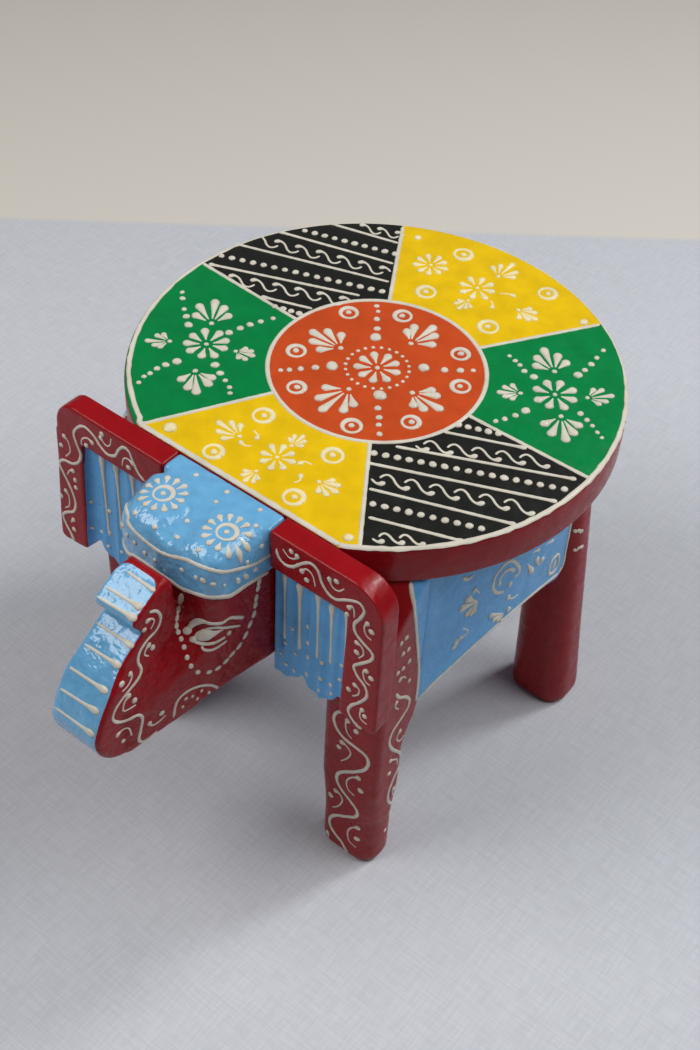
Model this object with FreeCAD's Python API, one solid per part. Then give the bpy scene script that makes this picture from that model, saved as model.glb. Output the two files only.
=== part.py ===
import FreeCAD, Part
import os
from math import hypot, sqrt

os.makedirs("parts", exist_ok=True)

V = FreeCAD.Vector

# Elephant stool of carved and painted wood, in millimetres.
# The elephant faces -Y, its left side is +X, and the stool stands on z = 0.

# Seat: a round board whose front is cut straight
seat_radius = 102.0
seat_thickness = 17.0
stool_height = 191.0
seat_chord_share = 0.8676  # of the radius, from the seat's centre to its straight edge
seat_edge_round = 1.5

# Head and trunk: one carved block on the straight edge
head_half_back = 26.5
head_half_front = 22.0
forehead_ahead = 37.5      # from the seat's straight edge to the forehead
head_height = 75.0         # from the seat's top to the jaw
head_corner = 8.0
brow_round = 8.0
brow_groove_radius = 12.0
brow_groove_depth = 0.6    # at the back of the groove between the two domes
brow_groove_fall = 2.6     # how much deeper it is at the front
trunk_ahead_share = 0.6933     # of the head's height, from the forehead to the trunk's foremost point
trunk_half = 12.2
trunk_edge_round = 1.6

# Ears: boards with a raised rim round a fluted field
ear_thickness = 10.0
ear_span_share = 0.8235    # of the seat's radius, to the outer edge at the bottom
ear_shoulder_share = 0.7941    # and at the top
ear_corner = 12.0
ear_below_head = 4.0       # how far an ear's heel is below the head's lower edge
ear_heel_round = 3.5
rim_top_width = 23.0
rim_side_width = 19.5
field_recess = 2.5
flute_count = 6
flute_radius = 6.0
flute_depth = 1.1

# Front legs: upright
front_leg_inner_share = 0.4608     # of the seat's radius, half the clear width between them
front_leg_width = 29.0
front_leg_top_depth = 28.0
front_leg_foot_depth = 19.5
front_leg_swell_top = 92.0     # below the seat's top, where the back starts to curve forward
front_leg_swell_height = 28.0
leg_shoulder_height = 34.0     # over this height the outer side draws in under the seat
leg_shoulder_inset = 1.5

# Rear legs: raked backwards, wider at the foot. Their places are shares of the seat's radius:
# how far out their inner side is, and how far behind the seat's centre their front.
rear_top_place_shares = (0.5784, 0.3235)
rear_foot_place_shares = (0.6078, 0.3922)
rear_top_width = 23.5
rear_top_depth = 13.5
rear_foot_width = 30.0
rear_foot_depth = 26.0
leg_corner = 3.5
leg_outer_corner = 6.0
foot_round_share = 0.9     # of the legs' upright corners, under the feet

# Aprons: two bowed side panels, a rear panel and a front rail
apron_thickness = 10.0
apron_height = 77.0
apron_arch = 9.0
side_bow = 3.0
side_heel_round = 6.0
front_rail_height = 45.0
rear_panel_inset = 1.5

# Dowels and pins, and their clearance in the bores
leg_dowel_radius = 4.0
leg_dowel_in_seat = 11.0
leg_dowel_in_leg = 15.0
apron_dowel_radius = 2.5
apron_dowel_in_leg = 9.0
apron_dowel_in_apron = 12.0
head_dowel_radius = 4.0
head_dowel_in_head = 16.0
head_dowel_spread = 13.0
pin_radius = 1.0
pin_head_radius = 2.0
pin_head_thickness = 0.8
pin_length = 25.0
bore_clearance = 0.05
bore_end_gap = 0.5
overrun = 5.0              # how far a cutting shape runs past what it cuts

# The origin is under the middle of the whole stool, between the trunk's tip and the seat's back
seat_chord = seat_radius * seat_chord_share
head_reach = seat_chord + forehead_ahead
trunk_ahead = head_height * trunk_ahead_share
trunk_reach = head_reach + trunk_ahead
seat_y = (trunk_reach - seat_radius) / 2
seat_under = stool_height - seat_thickness
chord_y = seat_y - seat_chord
ear_front_y = chord_y - ear_thickness
ear_height = head_height + ear_below_head
ear_half_span = seat_radius * ear_span_share
ear_shoulder = seat_radius * ear_shoulder_share
foot_round = leg_corner * foot_round_share
front_leg_inner = seat_radius * front_leg_inner_share
rear_top_inner, rear_top_front = [seat_radius * share for share in rear_top_place_shares]
rear_foot_inner, rear_foot_front = [seat_radius * share for share in rear_foot_place_shares]
rear_top_outer = rear_top_inner + rear_top_width
rear_foot_outer = rear_foot_inner + rear_foot_width


def from_seat(x, ahead, below):
    """A point given by its distance ahead of the seat's centre and below the seat's top."""
    return V(x, seat_y - ahead, stool_height - below)


def path(start, steps):
    """Edges from start through the steps: a step of one point is a line, of two an arc."""
    edges = []
    here = start
    for step in steps:
        if len(step) == 1:
            edges.append(Part.makeLine(here, step[0]))
        else:
            edges.append(Part.Arc(here, *step).toShape())
        here = step[-1]
    return edges


def prism(edges, direction):
    return Part.Face(Part.Wire(edges)).extrude(direction)


def box(x0, x1, y0, y1, z0, z1):
    return Part.makeBox(x1 - x0, y1 - y0, z1 - z0, V(x0, y0, z0))


def mirrored(shape):
    return shape.mirror(V(0, 0, 0), V(1, 0, 0))


def round_edges(shape, radius, picks):
    chosen = [e for e in shape.Edges if picks(e)]
    return shape.makeFillet(radius, chosen) if chosen else shape


def corner_arc(corner, start, end, radius):
    """A quarter-like arc that rounds a corner between the directions to start and end."""
    to_start = (start - corner).normalize()
    to_end = (end - corner).normalize()
    bisector = (to_start + to_end).normalize()
    half_cos = to_start.dot(bisector)
    half_sin = sqrt(1 - half_cos ** 2)
    reach = radius * half_cos / half_sin
    centre = corner + bisector * (radius / half_sin)
    return corner + to_start * reach, centre - bisector * radius, corner + to_end * reach


def rounded_outline(corners, radii):
    """Closed outline with an arc at each corner whose radius isn't zero."""
    count = len(corners)
    ends = []
    for i, corner in enumerate(corners):
        if radii[i]:
            ends.append(corner_arc(corner, corners[i - 1], corners[(i + 1) % count], radii[i]))
        else:
            ends.append((corner, None, corner))
    steps = []
    for i, (_, middle, last) in enumerate(ends):
        if middle is not None:
            steps.append([middle, last])
        steps.append([ends[(i + 1) % count][0]])
    return path(ends[0][0], steps)


# Seat

def seat_board():
    board = Part.makeCylinder(seat_radius, seat_thickness, V(0, seat_y, seat_under))
    front = box(-seat_radius, seat_radius, chord_y - seat_radius, chord_y,
                seat_under - overrun, stool_height + overrun)
    board = board.cut(front)
    return round_edges(board, seat_edge_round, lambda e: isinstance(e.Curve, Part.Circle))


# Head and trunk

def head_core():
    """Block that narrows forward of the ears, with a rounded brow and two domes."""
    ears_ahead = seat_chord + ear_thickness
    back = box(-head_half_back, head_half_back, ear_front_y, chord_y,
               stool_height - head_height, stool_height)
    corners = [
        from_seat(-head_half_back, ears_ahead, head_height),
        from_seat(-head_half_front, head_reach, head_height),
        from_seat(head_half_front, head_reach, head_height),
        from_seat(head_half_back, ears_ahead, head_height),
    ]
    outline = rounded_outline(corners, [0, head_corner, head_corner, 0])
    front = prism(outline, V(0, 0, head_height))
    back_y = ear_front_y - seat_edge_round
    front = round_edges(
        front, brow_round,
        lambda e: e.BoundBox.ZMin > stool_height - seat_edge_round and e.BoundBox.YMin < back_y)
    return back.fuse(front.cut(brow_groove())).removeSplitter()


def brow_groove():
    ears_ahead = seat_chord + ear_thickness
    start = from_seat(0, ears_ahead, brow_groove_depth - brow_groove_radius)
    end = from_seat(0, head_reach, brow_groove_depth + brow_groove_fall - brow_groove_radius)
    along = end - start
    return Part.makeCylinder(brow_groove_radius, along.Length * 2, start - along / 2, along)


# Side view of the trunk, as shares of its reach ahead of the forehead and of the head's height
trunk_start_share = (-0.2, 0.42)
trunk_step_shares = [
    [(0.02, 0.42)],                       # floor of the notch between the forehead and the raised tip
    [(0.07, 0.405), (0.095, 0.36)],
    [(0.13, 0.16)],                       # back of the tip
    [(0.15, 0.12), (0.2, 0.108)],
    [(0.3, 0.135)],                       # its top
    [(0.48, 0.205)],
    [(0.515, 0.235), (0.49, 0.27)],       # lip
    [(0.43, 0.34)],                       # notch under the lip
    [(0.8, 0.545), (1.0, 0.8)],           # bowed front
    [(0.93, 0.97), (0.74, 1.065)],
    [(0.38, 1.11), (0.05, 1.06)],         # underside
    [(-0.2, 0.99)],
]

# Where the jaw's loft has its sections: top, cheek and lower edge as shares of the head's height
jaw_back_shares = (0.2, 0.5, 0.99)
jaw_brow_shares = (0.43, 0.62, 1.0)
jaw_trunk_shares = (0.62, 0.8, 1.06)
jaw_meets_trunk_share = 0.72


def trunk_board():
    def at(shares):
        return from_seat(-trunk_half, head_reach + trunk_ahead * shares[0], head_height * shares[1])

    start = at(trunk_start_share)
    steps = [[at(shares) for shares in step] for step in trunk_step_shares]
    return prism(path(start, [*steps, [start]]), V(2 * trunk_half, 0, 0))


def jaw_section(ahead, half, shares):
    top, cheek, low = [head_height * share for share in shares]
    left = [
        from_seat(trunk_half, ahead, top),
        from_seat(half, ahead, cheek),
        from_seat(half, ahead, low),
    ]
    right = [V(-p.x, p.y, p.z) for p in reversed(left)]
    return Part.Wire(path(left[0], [[p] for p in (*left[1:], *right, left[0])]))


def jaw():
    """Cheeks that run from the width of the head into the width of the trunk."""
    meet_ahead = head_reach + trunk_ahead * jaw_meets_trunk_share
    return Part.makeLoft([
        jaw_section(seat_chord + ear_thickness, head_half_back, jaw_back_shares),
        jaw_section(head_reach, head_half_front, jaw_brow_shares),
        jaw_section(meet_ahead, trunk_half + trunk_edge_round, jaw_trunk_shares),
    ], True, True)


def head_block():
    clear_of_head = seat_y - head_reach - head_corner
    trunk = round_edges(
        trunk_board(), trunk_edge_round,
        lambda e: (e.BoundBox.XLength < trunk_edge_round and e.BoundBox.YMax < clear_of_head
                   and e.BoundBox.DiagonalLength > trunk_half))
    return head_core().fuse(jaw()).fuse(trunk).removeSplitter()


# Ears

# The field's lowest point as a share of the ear's height, and the scallops from there: how far out
# and how far up, as shares of the field's width
ear_low_share = 1.045
ear_inner_low_shares = (0, 0.01)
ear_scallop_shares = [
    [(0.17, 0), (0.4, 0.2)],
    [(0.65, 0.02), (0.9, 0.24)],
    [(1.0, 0.135)],
]


def ear_board():
    """Left ear: rim and fluted field cut from one board, with a scalloped lower edge."""
    field_outer = ear_half_span - rim_side_width
    field_width = field_outer - head_half_back
    lowest = ear_height * ear_low_share

    def at(x, below):
        return V(x, chord_y, stool_height - below)

    def low_at(shares):
        return at(head_half_back + field_width * shares[0], lowest - field_width * shares[1])

    inner_low = low_at(ear_inner_low_shares)
    scallops = [[low_at(shares) for shares in step] for step in ear_scallop_shares]
    rim_inner = scallops[-1][0]
    heel = at(ear_half_span, ear_height)
    shoulder = at(ear_shoulder, 0)
    top_inner = at(head_half_back, 0)
    heel_in, heel_mid, heel_out = corner_arc(heel, rim_inner, shoulder, ear_heel_round)
    corner_low, corner_mid, corner_top = corner_arc(shoulder, heel, top_inner, ear_corner)
    outline = path(top_inner, [
        [inner_low], *scallops, [heel_in],
        [heel_mid, heel_out], [corner_low], [corner_mid, corner_top], [top_inner],
    ])
    return prism(outline, V(0, -ear_thickness, 0)).cut(ear_field(field_outer))


def ear_field(field_outer):
    """What is carved out of an ear: a shallow recess and the flutes in its floor."""
    floor_y = ear_front_y + field_recess
    low = stool_height - ear_height * ear_low_share - overrun
    high = stool_height - rim_top_width
    field = box(head_half_back - overrun, field_outer, ear_front_y - overrun, floor_y, low, high)
    pitch = (field_outer - head_half_back) / flute_count
    for i in range(flute_count):
        middle = V(head_half_back + pitch * (i + 0.5), floor_y + flute_depth - flute_radius, low)
        field = field.fuse(Part.makeCylinder(flute_radius, high - low, middle))
    behind_front = box(head_half_back - overrun, field_outer, ear_front_y - overrun,
                       ear_front_y + ear_thickness / 2, low, high)
    return field.common(behind_front)


# Legs

def under_seat_flare():
    """Round envelope that draws the outer side of a leg in under the seat's edge."""
    shoulder_z = seat_under - leg_shoulder_height
    corner_reach = hypot(seat_chord, front_leg_inner + front_leg_width)
    low = Part.makeCylinder(corner_reach + overrun, shoulder_z, V(0, seat_y, 0))
    cone = Part.makeCone(corner_reach + overrun, seat_radius - leg_shoulder_inset,
                         leg_shoulder_height, V(0, seat_y, shoulder_z))
    return low.fuse(cone)


def front_leg():
    """Left front leg: its back curves forward below the side panel."""
    inner, outer = front_leg_inner, front_leg_inner + front_leg_width
    swell_low = front_leg_swell_top + front_leg_swell_height
    top_back = seat_chord - front_leg_top_depth
    foot_back = seat_chord - front_leg_foot_depth
    top = from_seat(inner, top_back, seat_thickness)
    bend_top = from_seat(inner, top_back, front_leg_swell_top)
    bend_mid = from_seat(inner, (top_back + foot_back) / 2, (front_leg_swell_top + swell_low) / 2)
    bend_low = from_seat(inner, foot_back, swell_low)
    back_foot = from_seat(inner, foot_back, stool_height)
    front_foot = from_seat(inner, seat_chord, stool_height)
    front_top = from_seat(inner, seat_chord, seat_thickness)
    bend = Part.BSplineCurve()
    bend.interpolate([bend_top, bend_mid, bend_low], InitialTangent=V(0, 0, -1),
                     FinalTangent=V(0, 0, -1))
    below_bend = path(bend_low, [[back_foot], [front_foot], [front_top], [top], [bend_top]])
    leg = prism([*below_bend, bend.toShape()], V(front_leg_width, 0, 0))
    leg = round_edges(leg, leg_corner, lambda e: is_upright_back(e, outer))
    leg = round_edges(leg, leg_corner, is_upright_front)
    leg = leg.common(under_seat_flare())
    return round_edges(leg, foot_round, lambda e: e.BoundBox.ZMax < foot_round)


def is_upright_back(edge, outer):
    seam = edge.BoundBox
    tall = seam.ZLength > front_leg_swell_height / 2
    return tall and seam.XMin > outer - leg_corner and seam.YMin > chord_y + leg_corner


def is_upright_front(edge):
    seam = edge.BoundBox
    return seam.ZLength > stool_height / 2 and seam.YMax < chord_y + leg_corner


def rear_leg():
    """Left rear leg, from a small section under the seat to a larger one further back at the foot."""
    def section(inner, outer, front, depth, z):
        corners = [
            V(inner, seat_y + front, z),
            V(outer, seat_y + front, z),
            V(outer, seat_y + front + depth, z),
            V(inner, seat_y + front + depth, z),
        ]
        return Part.Wire(rounded_outline(corners, [leg_corner, leg_corner, leg_outer_corner, leg_corner]))

    top = section(rear_top_inner, rear_top_outer, rear_top_front, rear_top_depth, seat_under)
    foot = section(rear_foot_inner, rear_foot_outer, rear_foot_front, rear_foot_depth, 0)
    leg = Part.makeLoft([foot, top], True, True)
    return round_edges(leg, foot_round, lambda e: e.BoundBox.ZMax < foot_round)


def rear_front_at(below_seat):
    """How far behind the seat's centre a rear leg's front face is, at a depth under the seat."""
    return rear_top_front + (rear_foot_front - rear_top_front) * below_seat / seat_under


def rear_inner_at(below_seat):
    return rear_top_inner + (rear_foot_inner - rear_top_inner) * below_seat / seat_under


# Aprons

def side_panel():
    """Left side panel: a bowed board, flush with the legs outside, arched along its lower edge."""
    front_x = front_leg_inner + front_leg_width
    rear_x = rear_top_outer
    front_y = chord_y + front_leg_top_depth
    rear_y = seat_y + rear_front_at(apron_height)
    low = seat_under - apron_height
    start = V(front_x, front_y, low)
    end = V(rear_x, rear_y, low)
    along = end - start
    outward = V(along.y, -along.x, 0).normalize()
    middle = (start + end) / 2 + outward * side_bow
    inner_start = start - outward * apron_thickness
    inner_end = end - outward * apron_thickness
    inner_middle = middle - outward * apron_thickness
    bowed = path(start, [[middle, end], [inner_end], [inner_middle, inner_start], [start]])
    return prism(bowed, V(0, 0, apron_height)).common(side_panel_outline())


def side_panel_outline():
    """Side view of a side panel, carried out past the seat's edge."""
    far = seat_radius + overrun
    front_y = chord_y + front_leg_top_depth
    low = seat_under - apron_height
    rear_low_y = seat_y + rear_front_at(apron_height)
    rear_top_y = seat_y + rear_front_at(0)
    heel = V(0, rear_low_y, low)
    arch_end = V(0, rear_low_y - side_heel_round * 2, low)
    heel_in, heel_mid, heel_out = corner_arc(heel, arch_end, V(0, rear_top_y, seat_under), side_heel_round)
    arch_mid = V(0, (front_y + heel_in.y) / 2, low + apron_arch)
    front_low = V(0, front_y, low)
    rear_top = V(0, rear_top_y, seat_under)
    front_top = V(0, front_y, seat_under)
    outline = path(front_low, [
        [arch_mid, heel_in], [heel_mid, heel_out], [rear_top], [front_top], [front_low],
    ])
    return prism(outline, V(far, 0, 0))


def rear_panel():
    """Rear panel between the rear legs, arched below."""
    outer_y = seat_y + rear_top_front + rear_top_depth - rear_panel_inset
    low = seat_under - apron_height
    top_half = rear_inner_at(0)
    low_half = rear_inner_at(apron_height)
    left_low, right_low = V(low_half, outer_y, low), V(-low_half, outer_y, low)
    left_top, right_top = V(top_half, outer_y, seat_under), V(-top_half, outer_y, seat_under)
    crown = V(0, outer_y, low + apron_arch)
    outline = path(left_low, [[crown, right_low], [right_top], [left_top], [left_low]])
    return prism(outline, V(0, -apron_thickness, 0))


def front_rail():
    return box(-front_leg_inner, front_leg_inner, chord_y, chord_y + apron_thickness,
               seat_under - front_rail_height, seat_under)


# Dowels and pins

def dowel(radius, length, start, direction):
    return Part.makeCylinder(radius, length, start, direction)


def bore(radius, length, start, direction):
    """The bore of a dowel: wider by the clearance, and longer by the gap at each end."""
    axis = V(direction).normalize()
    return Part.makeCylinder(radius + bore_clearance, length + 2 * bore_end_gap,
                             start - axis * bore_end_gap, axis)


def leg_dowel_places():
    margin_share = 0.62
    rear_x = (rear_top_inner + rear_top_outer) / 2
    rear_y = seat_y + rear_top_front + rear_top_depth / 2
    front_x = front_leg_inner + leg_dowel_radius * 2
    front_y = chord_y + front_leg_top_depth * margin_share
    low = seat_under - leg_dowel_in_leg
    return [V(side * x, y, low) for side in (1, -1) for x, y in ((front_x, front_y), (rear_x, rear_y))]


def apron_dowel_places():
    """Start point and direction of each apron dowel, from inside the apron into its leg."""
    height_shares = (0.3, 0.72)
    inset_share = 0.62
    length = apron_dowel_in_leg + apron_dowel_in_apron
    places = []
    for share in height_shares:
        below = apron_height * share
        z = seat_under - below
        front_x = front_leg_inner + front_leg_width - apron_thickness * inset_share
        rear_x = rear_top_outer - apron_thickness * inset_share
        front_start = chord_y + front_leg_top_depth + apron_dowel_in_apron
        rear_start = seat_y + rear_front_at(below) - apron_dowel_in_apron
        rear_y = seat_y + rear_top_front + rear_top_depth - rear_panel_inset - apron_thickness / 2
        rail_z = seat_under - front_rail_height * share
        rail_y = chord_y + apron_thickness / 2
        for side in (1, -1):
            places.append((V(side * front_x, front_start, z), V(0, -1, 0)))
            places.append((V(side * rear_x, rear_start, z), V(0, 1, 0)))
            rear_inner = rear_inner_at(below) - apron_dowel_in_apron
            rail_inner = front_leg_inner - apron_dowel_in_apron
            places.append((V(side * rear_inner, rear_y, z), V(side, 0, 0)))
            places.append((V(side * rail_inner, rail_y, rail_z), V(side, 0, 0)))
    return [(start, direction, length) for start, direction in places]


def head_dowel_places():
    z = seat_under - front_rail_height / 2
    return [V(side * head_dowel_spread, chord_y + apron_thickness, z) for side in (1, -1)]


def ear_pin_places():
    """Where the pins go in: two into each leg and one into the seat's straight edge."""
    upper_share, lower_share = 0.58, 0.86
    rim_x = (ear_half_span - rim_side_width + front_leg_inner + front_leg_width) / 2
    seat_x = (head_half_back + sqrt(seat_radius ** 2 - seat_chord ** 2)) / 2
    places = [
        (seat_x, stool_height - seat_thickness / 2),
        (rim_x, stool_height - ear_height * upper_share),
        (rim_x, stool_height - ear_height * lower_share),
    ]
    return [V(side * x, ear_front_y, z) for side in (1, -1) for x, z in places]


def pin(start, spare):
    """Panel pin with a small flat head, or its bore when spare is the clearance."""
    shank = Part.makeCylinder(pin_radius + spare, pin_length + spare, start, V(0, 1, 0))
    head = Part.makeCylinder(pin_head_radius + spare, pin_head_thickness + spare, start, V(0, 1, 0))
    return shank.fuse(head).removeSplitter()


def main():
    leg_length = leg_dowel_in_leg + leg_dowel_in_seat
    head_length = head_dowel_in_head + apron_thickness
    up = V(0, 0, 1)
    ahead = V(0, -1, 0)
    nodes = {
        "seat": seat_board(),
        "head": head_block(),
        "left_ear": ear_board(),
        "front_left_leg": front_leg(),
        "rear_left_leg": rear_leg(),
        "left_side_panel": side_panel(),
        "rear_panel": rear_panel(),
        "front_rail": front_rail(),
    }
    for left in ("left_ear", "front_left_leg", "rear_left_leg", "left_side_panel"):
        nodes[left.replace("left", "right")] = mirrored(nodes[left])

    bores = [bore(leg_dowel_radius, leg_length, p, up) for p in leg_dowel_places()]
    bores += [bore(apron_dowel_radius, length, p, d) for p, d, length in apron_dowel_places()]
    bores += [bore(head_dowel_radius, head_length, p, ahead) for p in head_dowel_places()]
    bores += [pin(p, bore_clearance) for p in ear_pin_places()]
    for name, solid in nodes.items():
        near = [b for b in bores if b.BoundBox.intersect(solid.BoundBox)]
        nodes[name] = solid.cut(Part.makeCompound(near)) if near else solid

    nodes["leg_dowels"] = Part.makeCompound(
        [dowel(leg_dowel_radius, leg_length, p, up) for p in leg_dowel_places()])
    nodes["apron_dowels"] = Part.makeCompound(
        [dowel(apron_dowel_radius, length, p, d) for p, d, length in apron_dowel_places()])
    nodes["head_dowels"] = Part.makeCompound(
        [dowel(head_dowel_radius, head_length, p, ahead) for p in head_dowel_places()])
    nodes["ear_pins"] = Part.makeCompound([pin(p, 0) for p in ear_pin_places()])

    for name, shape in nodes.items():
        solid = shape.Solids[0] if len(shape.Solids) == 1 else Part.makeCompound(shape.Solids)
        solid.exportStep("parts/%s.step" % name)
        print(name, len(shape.Solids), "solids", round(shape.Volume), shape.isValid())


main()
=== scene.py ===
import math
import random

import bpy
from mathutils import Matrix, Vector


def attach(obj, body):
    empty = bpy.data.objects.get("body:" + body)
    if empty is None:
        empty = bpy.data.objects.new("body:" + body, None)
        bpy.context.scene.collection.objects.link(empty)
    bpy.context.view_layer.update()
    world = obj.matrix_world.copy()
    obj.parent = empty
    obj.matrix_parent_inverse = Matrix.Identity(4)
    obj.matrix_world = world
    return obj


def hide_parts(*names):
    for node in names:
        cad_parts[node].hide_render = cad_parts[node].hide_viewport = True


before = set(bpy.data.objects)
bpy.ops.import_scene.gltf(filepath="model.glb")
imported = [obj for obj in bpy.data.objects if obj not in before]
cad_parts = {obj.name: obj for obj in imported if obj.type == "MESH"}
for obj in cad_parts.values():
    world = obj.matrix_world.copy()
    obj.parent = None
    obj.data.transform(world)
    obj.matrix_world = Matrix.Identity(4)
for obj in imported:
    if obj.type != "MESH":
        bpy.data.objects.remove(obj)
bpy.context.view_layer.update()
random.seed(11)
mm = 0.001
mergeWithin = 0.002 * mm  # mesh points closer than this are one

# Places that several pieces share, in millimetres in the part's own frame
stool = {
    "top": 191.0, "seatY": 38.0, "seatRadius": 102.0, "seatDepth": 17.0, "chordY": -50.5,
    "earFront": -60.5,
}

# Where the photograph was taken from, and the lens
shot = {
    "place": (0.27277, -0.35184, 0.58771),
    "right": (0.78341, 0.62003, 0.04270),
    "up": (-0.46858, 0.54412, 0.69597),
    "forward": (-0.40829, 0.56524, -0.71680),
    "lens": 52.01,
}


def deselectAll():
    if bpy.context.mode != "OBJECT":
        bpy.ops.object.mode_set(mode="OBJECT")
    bpy.ops.object.select_all(action="DESELECT")


def pickOnly(piece):
    deselectAll()
    piece.select_set(True)
    bpy.context.view_layer.objects.active = piece


def cleanMesh(piece):
    pickOnly(piece)
    bpy.ops.object.mode_set(mode="EDIT")
    bpy.ops.mesh.select_all(action="SELECT")
    bpy.ops.mesh.remove_doubles(threshold=mergeWithin)
    bpy.ops.mesh.normals_make_consistent(inside=False)
    bpy.ops.object.mode_set(mode="OBJECT")


def applyModifier(piece, kind, **settings):
    pickOnly(piece)
    modifier = piece.modifiers.new(kind, kind)
    for key, value in settings.items():
        setattr(modifier, key, value)
    bpy.ops.object.modifier_apply(modifier=modifier.name)


def smoothShade(piece, angle=40):
    pickOnly(piece)
    bpy.ops.object.shade_smooth_by_angle(angle=math.radians(angle))


def settle(piece, name, material):
    piece.name = piece.data.name = name
    piece.data.materials.clear()
    piece.data.materials.append(material)
    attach(piece, "root")
    return piece


def copiedFrom(node, name):
    piece = bpy.data.objects.new(name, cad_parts[node].data.copy())
    bpy.context.scene.collection.objects.link(piece)
    cleanMesh(piece)
    return piece


# A copy of a turned or sawn solid with its edges worn soft, as sanded wood under thick enamel has.
# Plugs, given by their middles, close painted-over pin holes before the edges are softened.
def softenedCopy(node, voxel, rounds, plugs=()):
    piece = copiedFrom(node, node + "Carved")
    for middle in plugs:
        deselectAll()
        bpy.ops.mesh.primitive_cylinder_add(
            vertices=24, radius=earPins["plugRadius"] * mm, depth=earPins["plugDepth"] * mm,
            location=Vector(middle) * mm, rotation=(math.pi / 2, 0, 0))
        bpy.ops.object.transform_apply()
        plug = bpy.context.active_object
        pickOnly(piece)
        plug.select_set(True)
        bpy.ops.object.join()
    applyModifier(piece, "REMESH", mode="VOXEL", voxel_size=voxel * mm, adaptivity=0.0)
    applyModifier(piece, "SMOOTH", factor=0.5, iterations=rounds)
    pickOnly(piece)
    bpy.ops.object.shade_smooth()
    return piece


# Smooths only where a weight says so, and only along the named axes
def smoothWhere(piece, rounds, weight, **axes):
    group = piece.vertex_groups.new(name="soft")
    for vertex in piece.data.vertices:
        share = weight(*(vertex.co / mm))
        if share > 0:
            group.add([vertex.index], share, "REPLACE")
    applyModifier(piece, "SMOOTH", factor=0.5, iterations=rounds, vertex_group="soft", **axes)
    piece.vertex_groups.clear()


# How far a point that is past a corner's arc moves, each way, to lie on it
def ontoArc(pastX, pastY, corner):
    out = math.hypot(pastX, pastY)
    if min(pastX, pastY) <= 0 or out <= corner:
        return 0.0, 0.0
    back = corner / out - 1
    return pastX * back, pastY * back


# Works the upright edges of a leg round: "radius" gives the corner's radius at each height
def roundedPlan(piece, radius, rowHigh=3):
    rows = {}
    for vertex in piece.data.vertices:
        x, y, z = vertex.co / mm
        row = rows.setdefault(round(z / rowHigh), [x, x, y, y])
        row[:] = min(row[0], x), max(row[1], x), min(row[2], y), max(row[3], y)
    for vertex in piece.data.vertices:
        x, y, z = vertex.co / mm
        x0, x1, y0, y1 = rows[round(z / rowHigh)]
        halfWide, halfDeep = (x1 - x0) / 2, (y1 - y0) / 2
        corner = min(radius(z), halfWide, halfDeep)
        side, ahead = x - (x0 + x1) / 2, y - (y0 + y1) / 2
        pastX, pastY = abs(side) - halfWide + corner, abs(ahead) - halfDeep + corner
        moveX, moveY = ontoArc(pastX, pastY, corner)
        vertex.co.x += math.copysign(moveX, -side) * mm
        vertex.co.y += math.copysign(moveY, -ahead) * mm


# How far each point is past a painted edge, in millimetres, kept on the mesh for its material
def paintEdge(piece, past):
    field = piece.data.attributes.new("blueEdge", "FLOAT", "POINT")
    field.data.foreach_set("value", [past(*(v.co / mm)) for v in piece.data.vertices])


def linear(channel):
    return channel / 12.92 if channel <= 0.04045 else ((channel + 0.055) / 1.055) ** 2.4


def colour(code):
    return tuple(linear(int(code[i:i + 2], 16) / 255) for i in (1, 3, 5)) + (1.0,)


def setInputs(tree, node, inputs):
    for key, value in inputs.items():
        if isinstance(value, bpy.types.NodeSocket):
            tree.links.new(value, node.inputs[key])
        else:
            node.inputs[key].default_value = value


# Mix nodes take their share at 0 and their colours at 6 and 7, and give the colour at 2
def addNode(tree, kind, inputs=None, **settings):
    made = tree.nodes.new("ShaderNode" + kind)
    for key, value in settings.items():
        setattr(made, key, value)
    setInputs(tree, made, inputs or {})
    return made


def startMaterial(name):
    material = bpy.data.materials.new(name)
    material.use_nodes = True
    tree = material.node_tree
    place = addNode(tree, "TexCoord").outputs["Object"]
    return material, tree, tree.nodes["Principled BSDF"], place


# Oil enamel brushed on sanded wood: glossy, with brush marks about 1 mm apart and a slow waviness
enamel = {
    "brushMm": 1.1, "waveMm": 9.0, "wetMm": 5.0, "wearMm": 5.0, "brushStretch": (1.0, 0.35, 0.35),
    "brushDeepMm": 0.06, "brushStrength": 0.3, "waveDeepMm": 1.2, "noiseRange": (0.3, 0.7),
    "shade": (0.9, 1.06), "roughness": (0.2, 0.39), "specular": 0.2, "ior": 1.5,
    "coat": 0.03, "wetCoat": 0.85, "coatRoughness": 0.12,
}


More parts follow.
